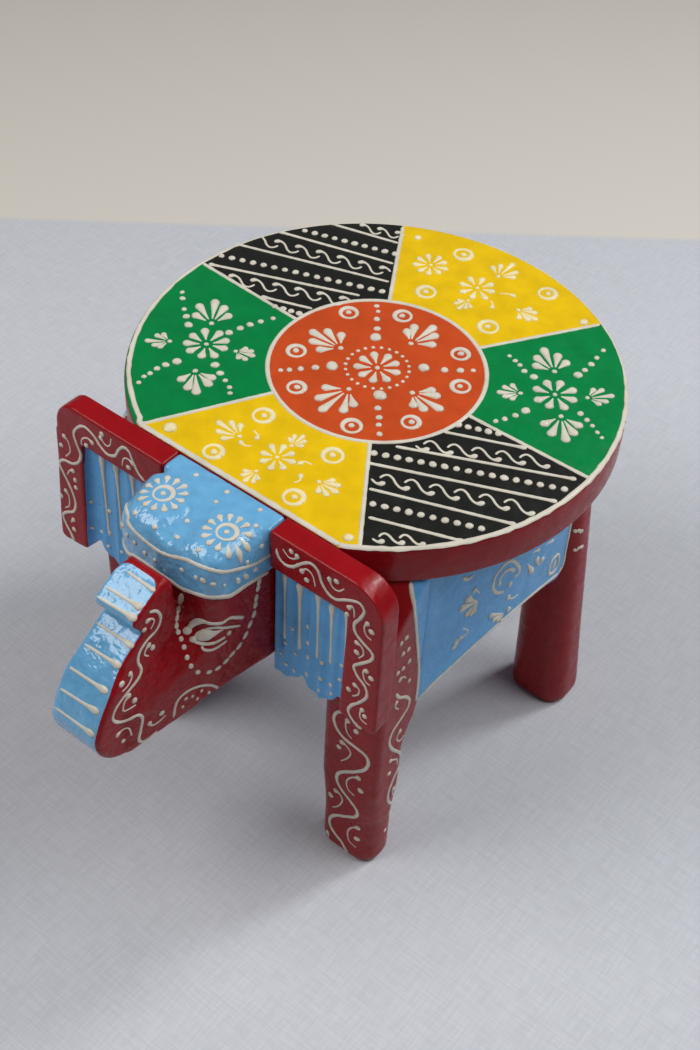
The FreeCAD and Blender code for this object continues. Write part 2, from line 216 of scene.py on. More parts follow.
# Where it is wet, the paint past the kept edge flowed on thicker and dried glossier
def enamelMaterial(name, colourOf, lumps=0.5, wet=False):
    material, tree, shader, place = startMaterial(name)
    least, most = enamel["noiseRange"]
    patches = addNode(tree, "TexNoise", {
        "Vector": place, "Scale": 1 / (enamel["wetMm" if wet else "waveMm"] * mm),
        "Detail": 2.5}).outputs["Fac"]
    shade = addNode(tree, "MapRange", {
        "Value": patches, "From Min": least, "From Max": most,
        "To Min": enamel["shade"][0], "To Max": enamel["shade"][1]}).outputs[0]
    shaded = addNode(tree, "Mix", {0: 1.0, 6: colourOf(tree, place), 7: shade},
                     data_type="RGBA", blend_type="MULTIPLY").outputs[2]
    worn = addNode(tree, "TexNoise", {
        "Vector": place, "Scale": 1 / (enamel["wearMm"] * mm), "Detail": 4.0}).outputs["Fac"]
    rough = addNode(tree, "MapRange", {
        "Value": worn, "From Min": least, "From Max": most,
        "To Min": enamel["roughness"][0], "To Max": enamel["roughness"][1]}).outputs[0]
    brushed = addNode(tree, "Mapping", {
        "Vector": place, "Scale": enamel["brushStretch"]}).outputs[0]
    marks = addNode(tree, "TexNoise", {
        "Vector": brushed, "Scale": 1 / (enamel["brushMm"] * mm), "Detail": 2.0}).outputs["Fac"]
    low = addNode(tree, "Bump", {
        "Height": patches, "Strength": lumps, "Distance": enamel["waveDeepMm"] * mm}).outputs[0]
    fine = addNode(tree, "Bump", {
        "Height": marks, "Strength": enamel["brushStrength"],
        "Distance": enamel["brushDeepMm"] * mm, "Normal": low}).outputs[0]
    coat = enamel["coat"]
    if wet:
        past = addNode(tree, "Attribute", attribute_name="blueEdge").outputs["Fac"]
        onWet = addNode(tree, "Math", {0: past, 1: 0.0}, operation="GREATER_THAN").outputs[0]
        coat = addNode(tree, "Math", {0: onWet, 1: enamel["wetCoat"]},
                       operation="MULTIPLY").outputs[0]
    setInputs(tree, shader, {
        "Base Color": shaded, "Roughness": rough, "Normal": fine, "Coat Normal": fine,
        "Specular IOR Level": enamel["specular"], "IOR": enamel["ior"], "Coat Weight": coat,
        "Coat Roughness": enamel["coatRoughness"]})
    return material


paints = {
    "maroon": colour("#910f17"), "sky": colour("#69abd7"), "blue": colour("#5ea5dc"),
    "yellow": colour("#e3bb10"), "green": colour("#067c3f"), "orange": colour("#c04a20"),
    "black": colour("#20211f"), "cream": colour("#d3cdbf"), "paleYellow": colour("#e8dcae"),
}

# The seat's painted fields: where each starts, in degrees round the seat from its left side
fields = {
    "turns": [(-180, "green"), (-119, "yellow"), (-56, "black"), (1, "green"), (57.7, "yellow"),
              (121, "black"), (176.8, "green")],
    "middleRadius": 44.6, "sideBelow": 190.5,
}


# One step of colour at each edge keeps the edges exact
def seatColours(tree, place):
    parts = addNode(tree, "SeparateXYZ", {"Vector": place}).outputs
    x = parts["X"]
    y = addNode(tree, "Math", {0: parts["Y"], 1: stool["seatY"] * mm},
                operation="SUBTRACT").outputs[0]
    turn = addNode(tree, "Math", {0: y, 1: x}, operation="ARCTAN2").outputs[0]
    square = addNode(tree, "Math", {0: x, 1: x}, operation="MULTIPLY").outputs[0]
    outSquared = addNode(tree, "Math", {0: y, 1: y, 2: square},
                         operation="MULTIPLY_ADD").outputs[0]
    edges = [(turn, "GREATER_THAN", math.radians(start), paint)
             for start, paint in fields["turns"][1:]]
    edges += [(outSquared, "LESS_THAN", (fields["middleRadius"] * mm) ** 2, "orange"),
              (parts["Z"], "LESS_THAN", fields["sideBelow"] * mm, "maroon")]
    painted = paints[fields["turns"][0][1]]
    for value, operation, limit, paint in edges:
        past = addNode(tree, "Math", {0: value, 1: limit}, operation=operation).outputs[0]
        painted = addNode(tree, "Mix", {0: past, 6: painted, 7: paints[paint]},
                          data_type="RGBA").outputs[2]
    return painted


def plain(paint):
    def colours(tree, place):
        return paints[paint]
    return colours


# Two paints that meet along the edge kept on the mesh
def divided(inside, outside):
    def colours(tree, place):
        edge = addNode(tree, "Attribute", attribute_name="blueEdge").outputs["Fac"]
        past = addNode(tree, "Math", {0: edge, 1: 0.0}, operation="GREATER_THAN").outputs[0]
        return addNode(tree, "Mix", {0: past, 6: paints[outside], 7: paints[inside]},
                       data_type="RGBA").outputs[2]
    return colours


seatEnamel = enamelMaterial("seatEnamel", seatColours)
maroonEnamel = enamelMaterial("maroonEnamel", plain("maroon"))
headEnamel = enamelMaterial("headEnamel", divided("sky", "maroon"), lumps=0.9, wet=True)
earEnamel = enamelMaterial("earEnamel", divided("blue", "maroon"))
panelEnamel = enamelMaterial("panelEnamel", plain("blue"))
legEnamel = enamelMaterial("legEnamel", divided("blue", "maroon"))
# Thick paint squeezed from a cone: rounded and satin. The yellow fields' is thinner and tinted.
coneCream = enamelMaterial("coneCream", plain("cream"))
coneYellow = enamelMaterial("coneYellow", plain("paleYellow"))


# Sawn mango wood, for the dowels inside: pale brown, with grain about 0.8 mm apart along the length
def sawnWood(name, grainMm=0.8):
    material, tree, shader, place = startMaterial(name)
    drawn = addNode(tree, "Mapping", {"Vector": place, "Scale": (1.0, 0.12, 1.0)}).outputs[0]
    grain = addNode(tree, "TexNoise", {
        "Vector": drawn, "Scale": 1 / (grainMm * mm), "Detail": 3.0}).outputs["Fac"]
    wood = addNode(tree, "Mix", {0: grain, 6: colour("#8a6a45"), 7: colour("#b8956a")},
                   data_type="RGBA").outputs[2]
    relief = addNode(tree, "Bump", {
        "Height": grain, "Strength": 0.3, "Distance": 0.1 * mm}).outputs[0]
    setInputs(tree, shader, {"Base Color": wood, "Normal": relief, "Roughness": 0.7})
    return material


# Drawn steel wire, for the ears' pins: dull bright metal, with the die's marks about 0.4 mm apart
def drawnSteel(name, marksMm=0.4):
    material, tree, shader, place = startMaterial(name)
    marks = addNode(tree, "TexNoise", {
        "Vector": place, "Scale": 1 / (marksMm * mm), "Detail": 2.0}).outputs["Fac"]
    rough = addNode(tree, "MapRange", {
        "Value": marks, "To Min": 0.28, "To Max": 0.45}).outputs[0]
    setInputs(tree, shader, {"Base Color": colour("#b9babd"), "Metallic": 1.0, "Roughness": rough})
    return material


dowelWood = sawnWood("dowelWood")
pinSteel = drawnSteel("pinSteel")
print("materials made")


# Seat: a board turned round, cut straight in front, its top edge eased by hand
seatShape = {"ease": 1.8, "easeSteps": 4, "faces": 192}


def seatBoard():
    deselectAll()
    bpy.ops.mesh.primitive_cylinder_add(
        vertices=seatShape["faces"], radius=stool["seatRadius"] * mm, depth=stool["seatDepth"] * mm,
        location=(0, stool["seatY"] * mm, (stool["top"] - stool["seatDepth"] / 2) * mm))
    bpy.ops.object.transform_apply()
    piece = bpy.context.active_object
    bpy.ops.object.mode_set(mode="EDIT")
    bpy.ops.mesh.select_all(action="SELECT")
    bpy.ops.mesh.bisect(
        plane_co=(0, stool["chordY"] * mm, 0), plane_no=(0, -1, 0), use_fill=True, clear_outer=True)
    bpy.ops.mesh.select_all(action="SELECT")
    bpy.ops.mesh.normals_make_consistent(inside=False)
    bpy.ops.object.mode_set(mode="OBJECT")
    applyModifier(piece, "BEVEL", width=seatShape["ease"] * mm, segments=seatShape["easeSteps"],
                  limit_method="ANGLE", angle_limit=math.radians(40))
    smoothShade(piece)
    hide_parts("seat")
    return settle(piece, "seatBoard", seatEnamel)


seat = seatBoard()


# Straight aims at the stool, from well outside it
def fromFront(x, z):
    return Vector((x, -110, z)), Vector((0, 1, 0))


def fromLeft(y, z):
    return Vector((130, y, z)), Vector((-1, 0, 0))


def fromAbove(x, y):
    return Vector((x, y, 230)), Vector((0, 0, -1))


# Aims level at the head's upright axis, from outside
def inward(x, y, z):
    way = Vector((-x, headShape["axisY"] - y, 0)).normalized()
    return Vector((x, y, z)) - way * 30, way


# Where a measured point of the photograph is aimed from
eyePoint = Vector(shot["place"]) / mm


# Aims from there through a point of the plane that lies at a given place along one axis
def fromShot(axis, plane):
    def aim(*measured):
        at = list(measured)
        at.insert(axis, plane)
        return eyePoint, (Vector(at) - eyePoint).normalized()
    return aim


# Where an aim meets a mesh, and the way the mesh faces there
def touched(host, aim):
    start, along = aim
    hit, where, normal, _ = host.ray_cast(start * mm, along)
    if hit:
        return where, -normal if normal.dot(along) > 0 else normal
    return None


# Curve through given points, evenly filled in
def flowing(points, step):
    filled = []
    last = len(points) - 1
    for i in range(last):
        before, start, end, after = (
            Vector(points[min(max(j, 0), last)]) for j in (i - 1, i, i + 1, i + 2))
        count = max(2, round((end - start).length / step))
        for k in range(count):
            t = k / count
            filled.append(0.5 * (
                2 * start + (end - before) * t + (2 * before - 5 * start + 4 * end - after) * t ** 2
                + (3 * start - before - 3 * end + after) * t ** 3))
    filled.append(Vector(points[last]))
    return filled


def eased(value, start, end):
    t = min(max((value - start) / (end - start), 0.0), 1.0)
    return t * t * (3 - 2 * t)


# Height of a measured line, at a place along it
def along(points, at):
    for (a0, b0), (a1, b1) in zip(points, points[1:]):
        if at <= a1:
            return b0 + (b1 - b0) * (max(at, a0) - a0) / (a1 - a0)
    return points[-1][1]


# Head: sky blue cap and trunk front, dark red cheeks. The cap ends on a band that stands proud of
# the cheeks. Its lines are level aims on the far side and points of the plane y = -88 as
# photographed; where the raised trunk hides them, they are aimed at from the gap behind it.
headShape = {
    "voxel": 0.9, "worn": 5, "rounds": 30, "axisY": -70, "browY": -90.5, "bandY": -88, "gapY": -91,
    "gapHalf": 14, "trunkBack": (-92, -89.5), "trunkSide": (12.4, 14), "trunkHalf": 12.2,
    "tipHalf": 10.2, "tipTop": 183, "tipCorner": 4.5, "tipFrom": (146, 160),
    "domes": [(12.5, -70), (-12.5, -70)], "domeFall": 0.009, "domeFlat": 5, "browFrom": (176, 186),
    "fallFrom": (62, 76), "blueShare": 0.88, "farShare": 0.98, "blueFrom": -99.2, "blueCorner": 5,
    "blueLow": 113, "bandInset": 1, "insetFront": -94, "insetTop": 175, "insetOver": (0.2, 1.6),
    "farSwell": 4, "swellFrom": (12.5, 24), "clearOfEar": (60.5, 65), "sharpShare": 0.6,
    "sharpFrom": (-66, -58), "belowBand": (-168, -162), "boardFrom": (-62, -56),
    "lowerLine": [("level", [(-26.3, -62, 170), (-25, -70, 170.4), (-23.8, -78, 170.6)]),
        ("seen", [(-24, 170.3), (-22.5, 169.3), (-19.4, 169.9), (-15.7, 170.6)]),
        ("gap", [(-9, 170.6), (-3, 170), (3, 169.8)]), ("seen", [(7.5, 169.5), (11, 170.5),
        (17, 172.7), (21, 174.5), (24.4, 176.8), (28.3, 180), (31.7, 183), (35.6, 188.5),
        (38.9, 193.5), (44.8, 201.9), (49, 208)])],
    "upperLine": [("level", [(-26.3, -62, 179), (-25, -70, 179.4)]), ("seen", [(-17.6, 191.5),
        (-18, 187.6), (-15.6, 184.9), (-11.5, 183.3), (-7.2, 182.5), (-2.2, 182.2), (2.8, 183.6),
        (10.3, 187), (15.2, 188.1), (20, 189.4), (24.8, 191.2), (29.6, 194.1), (36.6, 200.7),
        (43.5, 208), (47.9, 214.2), (50.1, 217.6)])],
}


def bandAim(kind, *point):
    if kind == "seen":
        return fromShot(1, headShape["bandY"])(*point)
    if kind == "gap":
        return Vector((point[0], headShape["gapY"], point[1])), Vector((0, 1, 0))
    return inward(*point)


def bandPath(host, runs):
    spots = [touched(host, bandAim(kind, *point)) for kind, points in runs for point in points]
    path = flowing([where / mm for where, _ in filter(None, spots)], 1.0)
    found = [host.closest_point_on_mesh(point * mm) for point in path]
    return [(where, normal) for _, where, normal, _ in found]


# Degrees round the head's upright axis, from its front
def roundHead(x, y):
    if y <= headShape["gapY"] and abs(x) <= headShape["gapHalf"]:
        return 0.0
    return math.degrees(math.atan2(x, headShape["axisY"] - y))


def trunkHalfAt(z):
    s = headShape
    return s["trunkHalf"] + (s["tipHalf"] - s["trunkHalf"]) * eased(z, *s["tipFrom"])


# Narrows the trunk's tip and rounds its corners, and lets the brow fall away from its two domes
def shapeTrunk(piece):
    s = headShape
    for vertex in piece.data.vertices:
        x, y, z = vertex.co / mm
        if y < s["browY"] and z > s["tipFrom"][0]:
            x *= trunkHalfAt(z) / s["trunkHalf"]
            corner = s["tipCorner"]
            moveX, moveZ = ontoArc(abs(x) - s["tipHalf"] + corner, z - s["tipTop"] + corner, corner)
            x += math.copysign(moveX, -x)
            z += moveZ
        elif y > s["browY"] and z > s["browFrom"][0]:
            away = min(math.hypot(x - a, y - b) for a, b in s["domes"])
            fall = s["domeFall"] * max(away - s["domeFlat"], 0) ** 2
            z -= fall * eased(z, *s["browFrom"]) * eased(-y, *s["fallFrom"])
        vertex.co = Vector((x, y, z)) * mm


# The far cheek and brow are carved fuller than the near ones
def fullerFarSide(piece):
    s = headShape
    for vertex in piece.data.vertices:
        x, y, z = vertex.co / mm
        vertex.co.x -= s["farSwell"] * mm * eased(-x, *s["swellFrom"]) * eased(-y, *s["clearOfEar"])


# How far a point is inside the blue of the cap, the band and the trunk's front
def headBlue(x, y, z):
    s = headShape
    if y > s["browY"] - 0.3:
        return z - along(s["edge"], roundHead(x, y))
    side = s["blueShare" if x > 0 else "farShare"] * trunkHalfAt(z) - abs(x)
    front = min(side, s["blueFrom"] - y)
    corner = s["blueCorner"]
    if front < corner:
        front = corner - math.hypot(max(corner - side, 0), max(corner - s["blueFrom"] + y, 0))
    return min(front, corner, z - s["blueLow"])


def offTrunk(x, y):
    return max(eased(y, *headShape["trunkBack"]), eased(abs(x), *headShape["trunkSide"]))


head = softenedCopy("head", headShape["voxel"], headShape["worn"])
smoothWhere(head, headShape["rounds"], lambda x, y, z: (
    offTrunk(x, y) * (1 - headShape["sharpShare"] * eased(y, *headShape["sharpFrom"]))))
shapeTrunk(head)
fullerFarSide(head)
head.data.update()
bpy.context.view_layer.update()
bandLines = {key: bandPath(head, headShape[key]) for key in ("lowerLine", "upperLine")}
headShape["edge"] = sorted(
    (roundHead(where.x / mm, where.y / mm), where.z / mm) for where, _ in bandLines["lowerLine"])
for vertex in head.data.vertices:  # cheeks and brow are cut back below the band
    x, y, z = vertex.co / mm
    if y > headShape["insetFront"] and z < headShape["insetTop"]:
        below = along(headShape["edge"], roundHead(x, y)) - z
        back = headShape["bandInset"] * eased(below, *headShape["insetOver"]) * offTrunk(x, y)
        vertex.co += Vector((-x, headShape["axisY"] - y, 0)).normalized() * back * mm
smoothWhere(head, headShape["rounds"], lambda x, y, z: (
    offTrunk(x, y) * eased(-z, *headShape["belowBand"]) * (1 - eased(y, *headShape["boardFrom"]))))
paintEdge(head, headBlue)
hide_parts("head")
settle(head, "headCarved", headEnamel)

# Ears: the far ear is carved a little wider than the near one
earShapes = {
    "left": {"side": 1, "outer": 79.5, "heel": 80.0, "fieldOuter": 64.0, "fieldHeel": 62.0,
             "fieldTop": 172.0, "drop": 0.0, "corner": 15.0},
    "right": {"side": -1, "outer": 84.0, "heel": 91.0, "fieldOuter": 70.5, "fieldHeel": 75.0,
              "fieldTop": 173.5, "drop": 3.0, "corner": 8.0},
}
# The same places on the solid ears, and how these are worn
solidEar = {
    "voxel": 0.75, "worn": 4, "high": 79.0, "outer": 81.0, "heel": 84.0, "fieldOuter": 64.5,
    "fieldInner": 26.5, "fieldTop": 168.0, "stepHalf": 8.0, "fieldDeep": 8.5,
    "dropPast": (68, 78), "dropBelow": (-135, -115),
}
# Their pins by x and z, driven in below the paint and plugged
earPins = {
    "places": [(38.6, 182.5), (70.2, 145.2), (70.2, 123.1)],
    "plugRadius": 3.0, "plugDepth": 9.0, "plugMiddle": 4.65, "headsWithin": 1.5, "sink": 4.5,
}


def carvedEar(name):
    shape, solid = earShapes[name], solidEar

    # From the ear's top to its heel
    def between(edges, first, last, z):
        return edges[first] + (edges[last] - edges[first]) * (stool["top"] - z) / solid["high"]

    def blueEdge(x, y, z):
        return min(between(shape, "fieldOuter", "fieldHeel", z) - abs(x), shape["fieldTop"] - z,
                   stool["earFront"] + solid["fieldDeep"] - y)

    plugY = stool["earFront"] + earPins["plugMiddle"]
    plugs = [(shape["side"] * x, plugY, z) for x, z in earPins["places"]]
    ear = softenedCopy(name + "_ear", solid["voxel"], solid["worn"], plugs)
    inner = solid["fieldInner"]
    for vertex in ear.data.vertices:  # edge and field are drawn out to this ear's own width
        x, y, z = vertex.co / mm
        outer = between(shape, "outer", "heel", z)
        fieldOuter = between(shape, "fieldOuter", "fieldHeel", z)
        far, past = abs(x), abs(x) - solid["fieldOuter"]
        if past > 0:
            solidRim = between(solid, "outer", "heel", z) - solid["fieldOuter"]
            far = fieldOuter + past * (outer - fieldOuter) / solidRim
        elif far > inner:
            far = inner + (far - inner) * (fieldOuter - inner) / (solid["fieldOuter"] - inner)
        fromTop = z - solid["fieldTop"]
        if abs(fromTop) < solid["stepHalf"]:
            rise = math.cos(fromTop / solid["stepHalf"] * math.pi / 2) ** 2
            z += (shape["fieldTop"] - solid["fieldTop"]) * rise
        z -= shape["drop"] * eased(far, *solid["dropPast"]) * eased(-z, *solid["dropBelow"])
        corner = shape["corner"]
        moveX, moveZ = ontoArc(far - outer + corner, z - stool["top"] + corner, corner)
        vertex.co = Vector((math.copysign(far + moveX, x), y, z + moveZ)) * mm
    paintEdge(ear, blueEdge)
    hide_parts(name + "_ear")
    return settle(ear, name + "EarCarved", earEnamel)


leftEar = carvedEar("left")
rightEar = carvedEar("right")

pins = copiedFrom("ear_pins", "earPins")
for vertex in pins.data.vertices:
    if vertex.co.y < (stool["earFront"] + earPins["headsWithin"]) * mm:
        vertex.co.y += earPins["sink"] * mm
smoothShade(pins)
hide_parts("ear_pins")
settle(pins, "earPinsSunk", pinSteel)
print("head and ears carved")


# Legs: the blue of the side panels runs on over the seam onto the front legs, up to a cream line,
# here as photographed, by y and z on the plane x = 72
legShape = {
    "creamLine": [(-34.6, 175.5), (-33, 170.3), (-29.5, 157.2), (-26.5, 142.8), (-22.9, 124.3),
        (-19.8, 105.6), (-18.6, 93)],
    "blueLow": 97.5, "blueOut": 66, "voxel": 1.1, "worn": 10, "rounds": 8,
    "smoothBelow": (-75, -30), "corner": {"front": (1, 8.5), "rear": (7, 10)},
    "cornerFrom": {"front": 75, "rear": 165}, "cornerTo": 20,
}
legs = {}
for corner in ("front_left", "front_right", "rear_left", "rear_right"):
    end = corner.split("_")[0]
    leg = softenedCopy(corner + "_leg", legShape["voxel"], legShape["worn"])
    high, low = legShape["corner"][end]
    span = -legShape["cornerFrom"][end], -legShape["cornerTo"]
    roundedPlan(leg, lambda z: high + (low - high) * eased(-z, *span))
    smoothWhere(leg, legShape["rounds"], lambda x, y, z: (
        1.0 if end == "rear" else eased(-z, *legShape["smoothBelow"])), use_z=False)
    if corner == "front_left":
        bpy.context.view_layer.update()
        hits = [touched(leg, fromShot(0, 72)(*point)) for point in legShape["creamLine"]]
        legShape["creamHits"] = sorted((hit[0].z / mm, hit[0].y / mm) for hit in hits if hit)
    if end == "front":
        paintEdge(leg, lambda x, y, z: min(
            y - along(legShape["creamHits"], z), z - legShape["blueLow"],
            abs(x) - legShape["blueOut"]))
    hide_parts(corner + "_leg")
    legs[corner] = settle(
        leg, corner + "_legCarved", legEnamel if end == "front" else maroonEnamel)

# Aprons: over the filled seam, a side panel's end covers the front leg's rounded corner
boardShape = {"voxel": 1.1, "worn": 3, "seamFrom": (18, 21.5), "seamOver": 4.2}


def carvedBoard(node, name, material):
    board = softenedCopy(node, boardShape["voxel"], boardShape["worn"])
    if node.endswith("side_panel"):
        for vertex in board.data.vertices:
            over = eased(-vertex.co.y / mm, *boardShape["seamFrom"])
            vertex.co.y -= boardShape["seamOver"] * mm * over
    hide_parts(node)
    return settle(board, name, material)


panels = {node: carvedBoard(node, node + "Carved", panelEnamel)
          for node in ("left_side_panel", "right_side_panel", "rear_panel")}
carvedBoard("front_rail", "frontRailCarved", maroonEnamel)

for node in ("leg_dowels", "apron_dowels", "head_dowels"):
    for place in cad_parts[node].material_slots:
        place.material = dowelWood
print("legs and aprons carved")

# Raised ornament: every line, dot and petal is a ridge of cone paint laid on its surface
ridge = {"rise": 0.5, "step": 1.5}
roundShares = (-0.98, -0.87, -0.5, 0.0, 0.5, 0.87, 0.98)


# What ornament is laid on: its mesh, and how a measured point is aimed at it
def surface(host, aim):
    return {"host": host, "aim": aim, "laid": []}


# The same piece of ornament, its points aimed in another way
def otherAim(face, aim):
    return {**face, "aim": aim}


# Lays one ridge on found spots: half widths in millimetres go with the spots
def ridgeOn(face, spots, widths):
    placed = [(*spot, width) for spot, width in zip(spots, widths) if spot]
    if len(placed) > 1:
        face["laid"].append(placed)


def lay(face, points, widths):
    ridgeOn(face, [touched(face["host"], face["aim"](*point)) for point in points], widths)


def drawAll(draw, face, many, *sizes):
    for measured in many:
        draw(face, measured, *sizes)


def heading(turn):
    return Vector((math.cos(turn), math.sin(turn)))


# Half widths that vary as a hand's pressure does
def unsteady(half, by, count):
    return [half * random.uniform(1 - by, 1 + by) for _ in range(count)]


# A hand-drawn line; "drop" ends it in a small round drop
def line(face, points, half, drop=0.0):
    path = flowing(points, ridge["step"])
    widths = unsteady(half, 0.12, len(path))
    widths[0] = widths[-1] = half * 0.5
    if drop and len(path) > 3:
        widths[-3:] = [drop * 0.9, drop, drop * 0.5]
    lay(face, path, widths)


def dash(face, at, step, size):
    lay(face, [Vector(at) + step * t for t in roundShares],
        [size * math.sqrt(1 - t * t) for t in roundShares])


def dot(face, at, size):
    size *= random.uniform(0.93, 1.07)
    way = heading(random.uniform(0, math.pi))
    dash(face, at, way * random.uniform(0.95, 1.15) * size, size)


# A drop of paint drawn from its thin root to its round head
def petal(face, root, tip, half):
    root, tip = Vector(root), Vector(tip)
    way = (tip - root).normalized()
    neck = max((tip - root).length - half, half * 0.3)
    steps = [(neck * t, half * (0.14 + 0.86 * t ** 1.3)) for t in (0, 0.25, 0.5, 0.75, 1.0)]
    steps += [(neck + half * t, half * math.sqrt(1 - t * t)) for t in (0.5, 0.87, 0.98)]
    lay(face, [root + way * far for far, _ in steps], [wide for _, wide in steps])


# A comma: a round head and a tail that thins along its bend
def comma(face, points, head):
    path = flowing(points, 0.9)
    far, widths = 0.0, []
    for i, point in enumerate(path):
        far += (point - path[i - 1]).length if i else 0.0
        if far < head:
            widths.append(max(head * math.sqrt(1 - (1 - far / head) ** 2), 0.2 * head))
        else:
            widths.append(max(head * (1 - 0.42 * (far - head)), 0.5 - 0.2 * i / len(path)))
    lay(face, path, widths)


def ring(face, at, radius, half, swell=0.0, swellTurn=0.0, count=20):
    turns = [math.tau * i / count for i in range(count + 1)]
    lay(face, [Vector(at) + heading(a) * radius for a in turns],
        [half * (1 + swell * math.cos(a - swellTurn)) for a in turns])


def eye(face, at, radius=3.6, half=0.85):
    phase = random.uniform(0, math.tau)
    ring(face, at, radius * random.uniform(0.95, 1.05), half, 0.3, phase)
    dot(face, Vector(at) + heading(phase) * 0.4, radius * 0.36)


def flower(face, at, radius, count, half):
    centre = Vector(at)
    for i in range(count):
        way = heading(math.tau * i / count + 0.3 + random.uniform(-0.06, 0.06))
        far = radius * random.uniform(0.93, 1.05)
        petal(face, centre + way * radius * 0.27, centre + way * far, half)
    dot(face, at, 1.0)


# A fan of petals round a small root drop: each leans its own way
def spray(face, root, angle, reach, half, spread=52, count=5):
    root = Vector(root)
    dot(face, root, min(1.15, half * 0.75))
    for i in range(count):
        side = i / (count - 1) * 2 - 1
        way = heading(math.radians(angle + side * spread + random.uniform(-4, 4)))
        far = reach * (1 - 0.36 * abs(side)) * random.uniform(0.94, 1.06)
        petal(face, root + way * reach * 0.18, root + way * far, half)


def dotRow(face, start, end, count, size):
    for i in range(count):
        dot(face, start.lerp(end, i / (count - 1)), size)


# A running scroll from its first drop to its last: each curl rises, falls and hooks into a drop
def runningScroll(face, first, last, count):
    step = (last - first) / (count - 1)
    across = Vector((-step.y, step.x))
    curl = [(-1.25, 0.2), (-1.13, 0.38), (-0.95, 0.45), (-0.75, 0.32), (-0.55, 0.05),
            (-0.35, -0.12), (-0.15, -0.13), (0, 0)]
    for i in range(count):
        shape = curl if i else curl[4:]
        path = flowing([first + step * (i + u) + across * v for u, v in shape], 0.8)
        widths = [0.3] + [0.5] * (len(path) - 5) + [0.75, 1.15, 1.2, 0.6]
        lay(face, path, widths[-len(path):])


# The two ends of a measured straight, and what else is measured with it
def straight(x0, y0, x1, y1, *more):
    return (Vector((x0, y0)), Vector((x1, y1)), *more)


# Makes one piece of all that was laid, on each of the named sides of the stool
def layRelief(face, name, material=coneCream, sides=(1,)):
    curve = bpy.data.curves.new(name, "CURVE")
    curve.dimensions = "3D"
    curve.bevel_depth = mm
    curve.bevel_resolution = 3
    spots = []
    for side in sides:
        for placed in face["laid"]:
            spline = curve.splines.new("POLY")
            spline.points.add(len(placed) - 1)
            for point, (where, normal, width) in zip(spline.points, placed):
                point.co = (where.x * side, where.y, where.z, 1)
                point.radius = width
                spots.append((point.co.xyz, Vector((normal.x * side, normal.y, normal.z))))
    relief = bpy.data.objects.new(name, curve)
    bpy.context.scene.collection.objects.link(relief)
    pickOnly(relief)
    bpy.ops.object.convert(target="MESH")
    relief = bpy.context.active_object
    around = len(relief.data.vertices) // len(spots)
    for i, vertex in enumerate(relief.data.vertices):  # each ring is pressed towards the surface
        where, normal = spots[i // around]
        vertex.co -= normal * (vertex.co - where).dot(normal) * (1 - ridge["rise"])
    bpy.ops.object.mode_set(mode="EDIT")
    bpy.ops.mesh.select_all(action="SELECT")
    bpy.ops.mesh.remove_doubles(threshold=mergeWithin)
    bpy.ops.mesh.fill_holes(sides=0)
    bpy.ops.object.mode_set(mode="OBJECT")
    cleanMesh(relief)
    smoothShade(relief, 60)
    return settle(relief, name, material)


bpy.context.view_layer.update()

